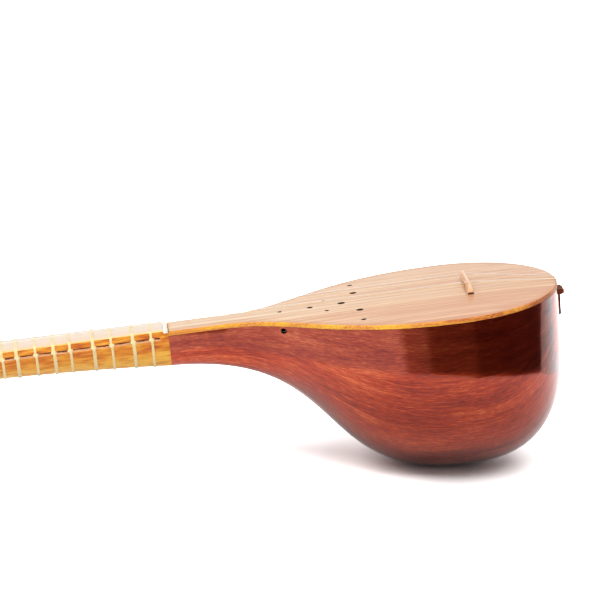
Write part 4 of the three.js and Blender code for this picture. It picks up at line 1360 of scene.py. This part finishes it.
def tail_face(y, below):
    """The bowl's tail surface at a place to the side and below the board."""
    down = max(below - BOARD_THICKNESS, 0)
    low, high = 0.0, TAIL_END
    for _ in range(HALVINGS):
        share = (low + high) / 2
        keel = keel_tail_line[round(share * KEEL_TAIL_STEPS)]
        sine = down / (keel[1] - BOARD_THICKNESS)
        if (y / edge_tail(share)[1]) ** 2 + sine ** 2 < 1:
            low = share
        else:
            high = share
    keel = keel_tail_line[round(low * KEEL_TAIL_STEPS)]
    edge = edge_tail(low)
    sine = down / (keel[1] - BOARD_THICKNESS)
    return edge[0] + (keel[0] - edge[0]) * sine ** 2 + SEAT


def tailpiece_ring(y):
    """The tailpiece's section, with a round nose on its lip."""
    lip_top, lip_low = tail_face(y, HOOK_TOP), tail_face(y, HOOK_TOP + HOOK_DEPTH)
    foot = tail_face(y, TAILPIECE_DROP)
    middle = tail_face(y, (HOOK_TOP + HOOK_DEPTH + TAILPIECE_DROP) / 2)
    half_way = -(HOOK_TOP + HOOK_DEPTH + TAILPIECE_DROP) / 2
    out = lip_top + HOOK_REACH
    flat_end = (lip_top + LIP_FLAT, -HOOK_TOP - LIP_SLOPE)
    nose = curve(flat_end, (out, -HOOK_TOP - NOSE_BEND), (out, -HOOK_TOP - NOSE_START), 6)
    under = curve((out, HOOK_NOSE), (out, HOOK_NOSE - NOSE_PULL),
                  (out - NOSE_ROUND, HOOK_NOSE - NOSE_ROUND), 4)
    line = [(lip_top, -HOOK_TOP), flat_end, *nose,
            (out, HOOK_NOSE), *under, (lip_low + TAILPIECE_WALL, -HOOK_TOP - HOOK_DEPTH),
            (middle + TAILPIECE_WALL, half_way),
            (foot + TAILPIECE_WALL, -TAILPIECE_DROP + FOOT_CHAMFER),
            (foot + TAILPIECE_WALL * FOOT_SHARE, -TAILPIECE_DROP), (foot, -TAILPIECE_DROP),
            (middle, half_way), (lip_low, -HOOK_TOP - HOOK_DEPTH)]
    return [(x, y, z) for x, z in line]


tail_shares_across = [i / TAILPIECE_STEPS - 0.5 for i in range(TAILPIECE_STEPS + 1)]
tailpiece_mesh = loft("tailpiece", [
    tailpiece_ring(share * TAILPIECE_WIDTH) for share in tail_shares_across
], grain=lambda place: (place.y, place.x, place.z))
finish_piece("tailpiece_plate", tailpiece_mesh, "tailpiece", "root", "rosewood", tail_wood)
print("tailpiece reaches x =", round(tail_face(0, HOOK_TOP) + HOOK_REACH, 1))

# %% [markdown]
# ## Head
# The head is a block behind the nut with a tapered hole for each peg. Its outline is pushed through,
# a Bevel modifier breaks its edges, and four tapered drills cut the holes. The holes are blind, so the
# back stays whole.

# %% The head
HEAD_LENGTH = 95
HEAD_WIDTH = 34
HEAD_THICKNESS = 21
HEAD_TOP = -3.5
HEAD_BACK = HEAD_TOP - HEAD_THICKNESS
HEAD_BEVEL = 1.6
HEAD_CORNER = 9
HEAD_ROUND_STEPS = 12
BEVEL_STEPS = 4
BEVEL_ANGLE = math.radians(60)
DRILL_BEYOND = 4
PEG_HOLE_SIDES = 48
HEAD_END = HEAD_PLACE - HEAD_LENGTH
PEG_RADIUS = 4
PEG_TIP_RADIUS = 3.3
PEG_WIND_ROOM = 10
PEG_FLOOR = 3
TURNING = 0.1
FRONT_PEG_PLACES = ((62, 6.5), (30, -1.5))
SIDE_PEG_PLACES = (46, 78)
front_depth = HEAD_THICKNESS - PEG_FLOOR
side_depth = HEAD_WIDTH - PEG_FLOOR
upright = Matrix.Identity(4)
to_near_side = Matrix.Rotation(math.radians(90), 4, "X")
peg_seats = [(Vector((NUT_PLACE - x, y, HEAD_TOP - front_depth)), upright, front_depth)
             for x, y in FRONT_PEG_PLACES]
peg_seats += [(Vector((NUT_PLACE - x, side_depth - HEAD_WIDTH / 2, (HEAD_TOP + HEAD_BACK) / 2)),
               to_near_side, side_depth) for x in SIDE_PEG_PLACES]


def head_mesh():
    """The head's block with bevelled edges."""
    half = HEAD_WIDTH / 2
    near = HEAD_PLACE - GLUE
    shape = [(near, -half), (near, half), (HEAD_END + HEAD_CORNER, half)]
    shape += curve((HEAD_END + HEAD_CORNER, half), (HEAD_END, half),
                   (HEAD_END, half - HEAD_CORNER), HEAD_ROUND_STEPS)
    shape += [(HEAD_END, -half + HEAD_CORNER)]
    shape += curve((HEAD_END, -half + HEAD_CORNER), (HEAD_END, -half),
                   (HEAD_END + HEAD_CORNER, -half), HEAD_ROUND_STEPS)
    mesh = loft("head", [[(x, y, z) for x, y in shape] for z in (HEAD_BACK, HEAD_TOP)])
    holder = holder_of(mesh)
    bevel = holder.modifiers.new("bevel", "BEVEL")
    bevel.width = HEAD_BEVEL
    bevel.segments = BEVEL_STEPS
    bevel.limit_method = "ANGLE"
    bevel.angle_limit = BEVEL_ANGLE
    mesh = settled(holder)
    set_grain(mesh, [tuple(vertex.co) for vertex in mesh.vertices])
    drills = []
    for seat, turned, depth in peg_seats:
        taper = (PEG_RADIUS - PEG_TIP_RADIUS) / (depth + PEG_WIND_ROOM)
        length = depth + SEAT + DRILL_BEYOND
        low = PEG_TIP_RADIUS + TURNING - taper * SEAT
        high = PEG_TIP_RADIUS + TURNING + taper * (depth + DRILL_BEYOND)
        middle = seat + turned @ Vector((0, 0, length / 2 - SEAT))
        drills.append(drill_object(middle, low, high, length, turned, PEG_HOLE_SIDES))
    return drilled(mesh, drills)


finish_piece("head_block", head_mesh(), "head", "root", "walnut", walnut)
print("head from", round(HEAD_END, 1), "to", round(HEAD_PLACE, 1))

# %% [markdown]
# ## Pegs
# A peg is turned on a lathe and its grip is then carved with flutes. It is a loft of rings along its
# own axis. The rings of the grip are waved, and the wave fades out towards both ends.

# %% The pegs
PEG_COLLAR = 2
PEG_COLLAR_RADIUS = 6
PEG_HANDLE = 38
PEG_HANDLE_RADIUS = 9
PEG_FLUTES = 8
PEG_FLUTE_DEPTH = 0.13
PEG_SIDES = 96
HANDLE_SHARES = ((0, 0.42), (0.1, 0.5), (0.3, 0.78), (0.55, 1), (0.78, 0.9), (0.93, 0.55),
                 (1, 0.25))
HANDLE_STEPS = 40
SHAFT_STEPS = 6
COLLAR_STEPS = 6
END_STEPS = 5
FLUTE_FROM, FLUTE_SPAN = 0.12, 0.83
TIP_CHAMFER = 0.4
END_ROUND = 0.8


def handle_radius(share):
    """The grip's radius, on a smooth line through its shares."""
    for i in range(len(HANDLE_SHARES) - 1):
        (a, ra), (b, rb) = HANDLE_SHARES[i], HANDLE_SHARES[i + 1]
        if share <= b:
            before = HANDLE_SHARES[max(i - 1, 0)]
            after = HANDLE_SHARES[min(i + 2, len(HANDLE_SHARES) - 1)]
            start_slope = (rb - before[1]) / (b - before[0]) * (b - a)
            end_slope = (after[1] - ra) / (after[0] - a) * (b - a)
            t = (share - a) / (b - a)
            return PEG_HANDLE_RADIUS * (
                (2 * t ** 3 - 3 * t * t + 1) * ra + (t ** 3 - 2 * t * t + t) * start_slope
                + (3 * t * t - 2 * t ** 3) * rb + (t ** 3 - t * t) * end_slope)
    return 0


def peg_profile(shaft):
    """Height, radius and depth of the flutes from the tip to the end of the grip."""
    profile = [(0, PEG_TIP_RADIUS - TIP_CHAMFER, 0), (TIP_CHAMFER, PEG_TIP_RADIUS, 0)]
    widening = PEG_RADIUS - PEG_TIP_RADIUS
    profile += [(shaft * i / SHAFT_STEPS, PEG_TIP_RADIUS + widening * i / SHAFT_STEPS, 0)
                for i in range(1, SHAFT_STEPS + 1)]
    for i in range(COLLAR_STEPS + 1):
        angle = math.pi * i / COLLAR_STEPS
        profile.append((shaft + PEG_COLLAR * (1 - math.cos(angle)) / 2,
                        PEG_COLLAR_RADIUS - 1 + math.sin(angle), 0))
    for i in range(HANDLE_STEPS + 1):
        share = i / HANDLE_STEPS
        fluted = min(max((share - FLUTE_FROM) / FLUTE_SPAN, 0), 1)
        depth = PEG_FLUTE_DEPTH * max(math.sin(math.pi * fluted), 0) ** 0.7
        profile.append((shaft + PEG_COLLAR + share * PEG_HANDLE, handle_radius(share), depth))
    tip_radius = handle_radius(1)
    for i in range(1, END_STEPS):
        angle = i / END_STEPS * math.pi / 2
        profile.append((shaft + PEG_COLLAR + PEG_HANDLE + END_ROUND * (math.sin(angle) - 1),
                        tip_radius * math.cos(angle), 0))
    return profile


def peg_mesh(seat, turned, depth):
    """One peg in its hole."""
    rings = []
    for height, radius, flute in peg_profile(depth + PEG_WIND_ROOM):
        ring = []
        for k in range(PEG_SIDES):
            angle = 2 * math.pi * k / PEG_SIDES
            groove = abs(math.sin(PEG_FLUTES * angle / 2)) ** 0.6
            out = radius * (1 - flute * (1 - groove))
            local = Vector((out * math.cos(angle), out * math.sin(angle), height))
            ring.append(seat + turned @ local)
        rings.append(ring)
    back = turned.inverted()

    def along_peg(place):
        local = back @ (Vector(place) - seat)
        return (local.z, local.x, local.y)

    return loft("peg", rings, grain=along_peg)


for index, (seat, turned, depth) in enumerate(peg_seats):
    name = f"peg_{index + 1}"
    finish_piece(f"{name}_turned", peg_mesh(seat, turned, depth), name, f"{name}_body", "rosewood",
                 rosewood)
print("pegs:", len(peg_seats))

# %% [markdown]
# ## Strings
# Each string starts under the lip of the tailpiece, crosses the bridge and the nut in their notches,
# and is wound on its peg. Where a wire bends, the path goes round a small arc.

# %% The strings
WIRE_SIDES = 10
WINDING_TURNS = 5
WINDING_PITCH = 0.62
WINDING_STEPS = 30
WINDING_ROOM = 0.12
WIRE_BEND = 1.2
UNDER_LIP = (0.3, 1.2)
AT_NOSE = 0.6
OVER_LIP = (0.1, 0.35)
WIRE_ROOM = 0.02
HEAD_ROOM = 0.2


def winding(start_point, centre, radius, sign, to_point):
    """Turns of wire round a peg, from the side where the wire arrives."""
    gap = Vector(start_point) - Vector(centre)
    angle = math.atan2(gap.y, gap.x) + sign * math.acos(min(radius / gap.length, 1))
    points = []
    for step in range(WINDING_TURNS * WINDING_STEPS + 1):
        turned = step / WINDING_STEPS
        at = angle + sign * turned * 2 * math.pi
        points.append(to_point(centre[0] + radius * math.cos(at),
                               centre[1] + radius * math.sin(at), turned))
    return points


def softened(points, radius, steps=4):
    """A path whose corners are cut by small curves."""
    result = [Vector(points[0])]
    for before, corner, after in zip(points, points[1:], points[2:]):
        corner = Vector(corner)
        lead_in, lead_out = (
            corner + way.normalized() * min(radius, way.length / 2)
            for way in (Vector(before) - corner, Vector(after) - corner)
        )
        result.append(lead_in)
        result += [Vector(point) for point in curve(lead_in, corner, lead_out, steps)]
    return result + [Vector(points[-1])]


def string_path(index):
    """The way of one string from the tail to its peg."""
    wire = STRING_DIAMETERS[index]
    lift = wire / 2 + WIRE_ROOM
    seat, _, depth = peg_seats[index]
    tail_y = tail_strings[index]
    hook_x = tail_face(tail_y, HOOK_TOP) + HOOK_REACH
    over_nut = Vector((NUT_PLACE - NUT_LENGTH / 2, nut_strings[index],
                       NUT_HIGH - NOTCH_DEPTH + lift))
    route = [
        (hook_x - HOOK_REACH * UNDER_LIP[0], tail_y, HOOK_NOSE - UNDER_LIP[1]),
        (hook_x + lift, tail_y, HOOK_NOSE + AT_NOSE),
        (hook_x - HOOK_REACH * OVER_LIP[0], tail_y, -HOOK_TOP + OVER_LIP[1]),
        (BODY_LENGTH + lift, tail_y, lift),
        (BRIDGE_PLACE, bridge_strings[index], BRIDGE_HIGH - NOTCH_DEPTH + lift),
        over_nut,
    ]
    radius = PEG_RADIUS + wire / 2 + WINDING_ROOM
    start = (PEG_WIND_ROOM - WINDING_TURNS * WINDING_PITCH) / 3
    if index < len(FRONT_PEG_PLACES):
        turns = winding(over_nut.xy, seat.xy, radius, 1,
                        lambda x, y, turned: (x, y, HEAD_TOP + start + turned * WINDING_PITCH))
    else:
        corner = Vector((seat.x + radius, -HEAD_WIDTH / 2 - lift - HEAD_ROOM, HEAD_TOP + lift))
        route.append(corner)
        side = -HEAD_WIDTH / 2 - start
        turns = winding(corner.xz, seat.xz, radius, -1,
                        lambda x, z, turned: (x, side - turned * WINDING_PITCH, z))
    return softened([*route, turns[0]], WIRE_BEND) + [Vector(point) for point in turns[1:]]


for index, wire in enumerate(STRING_DIAMETERS):
    metal, slot = (steel, "steel") if index in (0, 2) else (bronze, "bronze")
    mesh = stock_mesh([string_path(index)], wire, WIRE_SIDES, metal)
    name = f"string_{index + 1}"
    finish_piece(f"{name}_wire", mesh, name, "root", slot, metal)
print("strings:", len(STRING_DIAMETERS))

# %% [markdown]
# ## Inner pieces
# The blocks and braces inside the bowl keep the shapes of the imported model. Only their finish is set.

# %% Spruce for the inner pieces
for node in ("neck_block", "tail_block", "brace_1", "brace_2"):
    mesh = frame["nodes"][node].data
    mesh.materials.clear()
    mesh.materials.append(spruce)
print("inner pieces are bare spruce")

# %% [markdown]
# ## Floor and light
# The ground is white and shows the shadow right under the bowl and nothing else. The floor is matte.
# The camera and mirrors see it in a lighter tone than the one that light meets, and the camera sees it
# lighten further away from the bowl's foot: its darker tone near the foot is a painted shadow under the
# bowl. Far from the bowl it glows up to white. So only the small shadow stays. The glossy bowl shows
# its surroundings, so they matter as much as the lamps: two glowing sheets on the floor, a dark one in
# front and a pale one to the right of it, which only mirrors see. They paint the bowl's reflections.

# %% The floor
def ray_share(tree):
    """One for rays from the camera, mirrors and glass, and zero once light has been scattered."""
    path = add(tree, "ShaderNodeLightPath").outputs
    seen = math_node(tree, "MAXIMUM", path["Is Camera Ray"], path["Is Glossy Ray"])
    seen = math_node(tree, "MAXIMUM", seen, path["Is Transmission Ray"])
    straight = math_node(tree, "LESS_THAN", path["Diffuse Depth"], 0.5)
    return math_node(tree, "MULTIPLY", seen, straight)


def sheet(name, points, faces, material):
    """A flat object of the stage."""
    mesh = bpy.data.meshes.new(name)
    mesh.from_pydata(points, [], faces)
    mesh.materials.append(material)
    made = bpy.data.objects.new(name, mesh)
    scene_objects.link(made)
    return made


FLOOR_REACH = 8.0
FLOOR_TONE = 0.7
FLOOR_MIRRORED_TONE = 1.5
FLOOR_SEEN_TONES = (1.4, 3.0)
# Distances from the foot over which the camera's tone rises. The lower tone near the foot paints a
# shadow.
FOOT_SHADOW_REACH = (0.018, 0.06)
FOOT_SHADOW_SHAPE = (1, 0.5, 1)
GLOW_RISE = (0.09, 0.32)
BOWL_MIDDLE = 204
BOWL_FOOT = 196
centre = lay @ Vector((0, 0, 0))
bowl_x = centre.x + BOWL_MIDDLE * MM
floor_material, tree = bare_material("floor")
seen = ray_share(tree)
place_on_floor = add(tree, "ShaderNodeTexCoord").outputs["Object"]
flattened = vector_node(tree, "MULTIPLY", place_on_floor, FOOT_SHADOW_SHAPE)
foot = (centre.x + BOWL_FOOT * MM, 0, 0)
from_foot = vector_node(tree, "DISTANCE", flattened, foot, "Value")
# The camera's floor tone is lower near the bowl's foot, a painted shadow under the bowl.
foot_shadow_tone = limited(tree, from_foot, *FOOT_SHADOW_REACH, *FLOOR_SEEN_TONES)
seen_tone = limited(tree, seen, 0.0, 1.0, FLOOR_TONE, FLOOR_MIRRORED_TONE)
by_camera = add(tree, "ShaderNodeLightPath").outputs["Is Camera Ray"]
seen_tone = limited(tree, by_camera, 0.0, 1.0, seen_tone, foot_shadow_tone)
matte = add(tree, "ShaderNodeBsdfDiffuse", {"Color": vector_of(tree, *[seen_tone] * 3)})
away = vector_node(tree, "DISTANCE", place_on_floor, (bowl_x, 0, 0), "Value")
far = limited(tree, away, *GLOW_RISE, 0.0, 1.0)
glow = add(tree, "ShaderNodeEmission", {"Strength": math_node(tree, "MULTIPLY", far, seen)})
both = add(tree, "ShaderNodeAddShader", {0: matte.outputs[0], 1: glow.outputs[0]})
add(tree, "ShaderNodeOutputMaterial", {"Surface": both.outputs[0]})
corners = [(x * FLOOR_REACH, y * FLOOR_REACH, 0) for x, y in ((-1, -1), (1, -1), (1, 1), (-1, 1))]
floor = sheet("floor", corners, [(0, 1, 2, 3)], floor_material)
print("the floor is", 2 * FLOOR_REACH, "m wide")

# %% The glowing sheets that paint the bowl's reflections
SHEET_HEIGHT = 0.0006
DARK_SHEET_EDGE = (
    (-3000, -30), (-300, -38), (-5, -42), (4, -57), (29, -100), (66, -136), (108, -159),
    (159, -176), (204, -176), (248, -168), (288, -158), (334, -142), (383, -109), (423, -69),
    (450, -20), (470, -4), (540, 8), (705, 44), (943, 126), (1141, 221), (3000, 950),
)
# Glow tones of the dark sheet by direction from the bowl, which paint the bowl's reflections.
REFLECTION_TONES = [
    (-75, (1.3, 1.5, 1.8)),
    (-29, (1.25, 1.5, 1.8)),
    (-25, (0.6, 0.5, 0.5)),
    (-14, (0.5, 0.45, 0.42)),
    (-11, (0.24, 0.16, 0.12)),
    (14, (0.2, 0.13, 0.1)),
    (19, (0.1, 0.05, 0.05)),
]
PALE_INNER = ((455, -15), (540, 8), (705, 44), (943, 126), (1141, 221), (3000, 950))
PALE_OUTER = ((445, 180), (500, 190), (615, 260), (790, 420), (900, 520), (2400, 2400))
PALE_STOPS = [(0.0, (0.9, 1.2, 1.25)), (0.5, (1.2, 1.9, 2.0)), (1.0, (1.5, 2.4, 2.6))]


def glow_by(tree, share, stops):
    """A glow whose colour follows a share from 0 to 1."""
    glow = add(tree, "ShaderNodeEmission", {"Color": ramp(tree, share, stops)})
    add(tree, "ShaderNodeOutputMaterial", {"Surface": glow.outputs[0]})


def dark_reflection_material():
    """A glow whose tone depends on the direction from the bowl's middle, zero being forwards: a painted
    reflection.
    """
    material, tree = bare_material("dark_cloth")
    place = xyz(tree, add(tree, "ShaderNodeTexCoord").outputs["Object"])
    aside = math_node(tree, "SUBTRACT", place[0], bowl_x)
    forwards = math_node(tree, "MULTIPLY", place[1], -1.0)
    angle = math_node(tree, "DEGREES", math_node(tree, "ARCTAN2", aside, forwards))
    stops = [((degrees + 90) / 180, colour) for degrees, colour in REFLECTION_TONES]
    glow_by(tree, limited(tree, angle, -90, 90, 0.0, 1.0), stops)
    return material


def pale_reflection_material():
    """A glow that rises from the inner edge to the outer one, a painted reflection on the bowl."""
    material, tree = bare_material("pale_cloth")
    share = add(tree, "ShaderNodeAttribute", attribute_name="share").outputs["Fac"]
    glow_by(tree, share, PALE_STOPS)
    return material


def sheet_points(line, height):
    """Points in the world for places in millimetres from the neck's joint."""
    return [(centre.x + x * MM, y * MM, height) for x, y in line]


dark_points = sheet_points(DARK_SHEET_EDGE, SHEET_HEIGHT)
dark_points += [(x * FLOOR_REACH, -FLOOR_REACH, SHEET_HEIGHT) for x in (1, -1)]
reflection_sheet = sheet("dark_cloth", dark_points, [tuple(range(len(dark_points)))], dark_reflection_material())

# The pale sheet lies beyond the dark one's right edge, so the painted reflection at the bowl's right
# end turns pale gently.
pale_count = len(PALE_INNER)
pale_faces = [(i, i + 1, pale_count + i + 1, pale_count + i) for i in range(pale_count - 1)]
pale_cloth = sheet("pale_cloth", sheet_points(PALE_INNER + PALE_OUTER, SHEET_HEIGHT / 2),
                   pale_faces, pale_reflection_material())
pale_share = pale_cloth.data.attributes.new("share", "FLOAT", "POINT")
pale_share.data.foreach_set("value", [0.0] * pale_count + [1.0] * pale_count)
for hidden in (reflection_sheet, pale_cloth):
    for kind in ("camera", "diffuse", "shadow", "transmission", "volume_scatter"):
        setattr(hidden, f"visible_{kind}", False)
print("the dark cloth starts up to", -min(y for _, y in DARK_SHEET_EDGE), "mm in front of the strings")

# %% [markdown]
# ## Lamps and world
# Two large soft lamps light the instrument from above and from the front. Mirrors don't show them.
# The front lamp is kept off the floor by light linking, so it casts no second shadow. The sky is
# dimmer near the horizon for the light it gives, and evenly white where it is seen.

# %% Lamps and world
DOME_RISE = (0.0, 0.7)
DOME_STRENGTHS = (0.22, 0.45)
SEEN_STRENGTH = 1.3
world = bpy.data.worlds.new("world")
bpy.context.scene.world = world
world.use_nodes = True
tree = world.node_tree
tree.nodes.clear()
upwards = xyz(tree, add(tree, "ShaderNodeTexCoord").outputs["Generated"])[2]
dome = limited(tree, upwards, *DOME_RISE, *DOME_STRENGTHS)
strength = limited(tree, ray_share(tree), 0.0, 1.0, dome, SEEN_STRENGTH)
sky = add(tree, "ShaderNodeBackground", {"Color": (1, 1, 1, 1), "Strength": strength})
add(tree, "ShaderNodeOutputWorld", {"Surface": sky.outputs[0]})


def softbox(name, at, aim, size, power):
    """A large lamp at a point, turned to another. Mirrors don't show it."""
    lamp = bpy.data.lights.new(name, "AREA")
    lamp.shape = "RECTANGLE"
    lamp.size, lamp.size_y = size
    lamp.energy = power
    holder = bpy.data.objects.new(name, lamp)
    scene_objects.link(holder)
    facing = (Vector(aim) - Vector(at)).to_track_quat("-Z", "Y")
    holder.matrix_world = Matrix.Translation(at) @ facing.to_matrix().to_4x4()
    holder.visible_glossy = False
    return holder


top_lamp = softbox("top_lamp", at=(-0.05, -0.6, 1.4), aim=(0.05, 0, 0.05), size=(3.0, 0.6),
                   power=17)
front_lamp = softbox("front_lamp", at=(-0.3, -1.35, 0.75), aim=(0.0, 0, 0.06), size=(1.5, 0.7),
                     power=14)
flagged = bpy.data.collections.new("flagged_off")
flagged.objects.link(floor)
front_lamp.light_linking.receiver_collection = flagged
flagged.collection_objects[0].light_linking.link_state = "EXCLUDE"
print("lamps:", top_lamp.name, front_lamp.name)

# %% View
bpy.context.scene.view_settings.view_transform = "Standard"
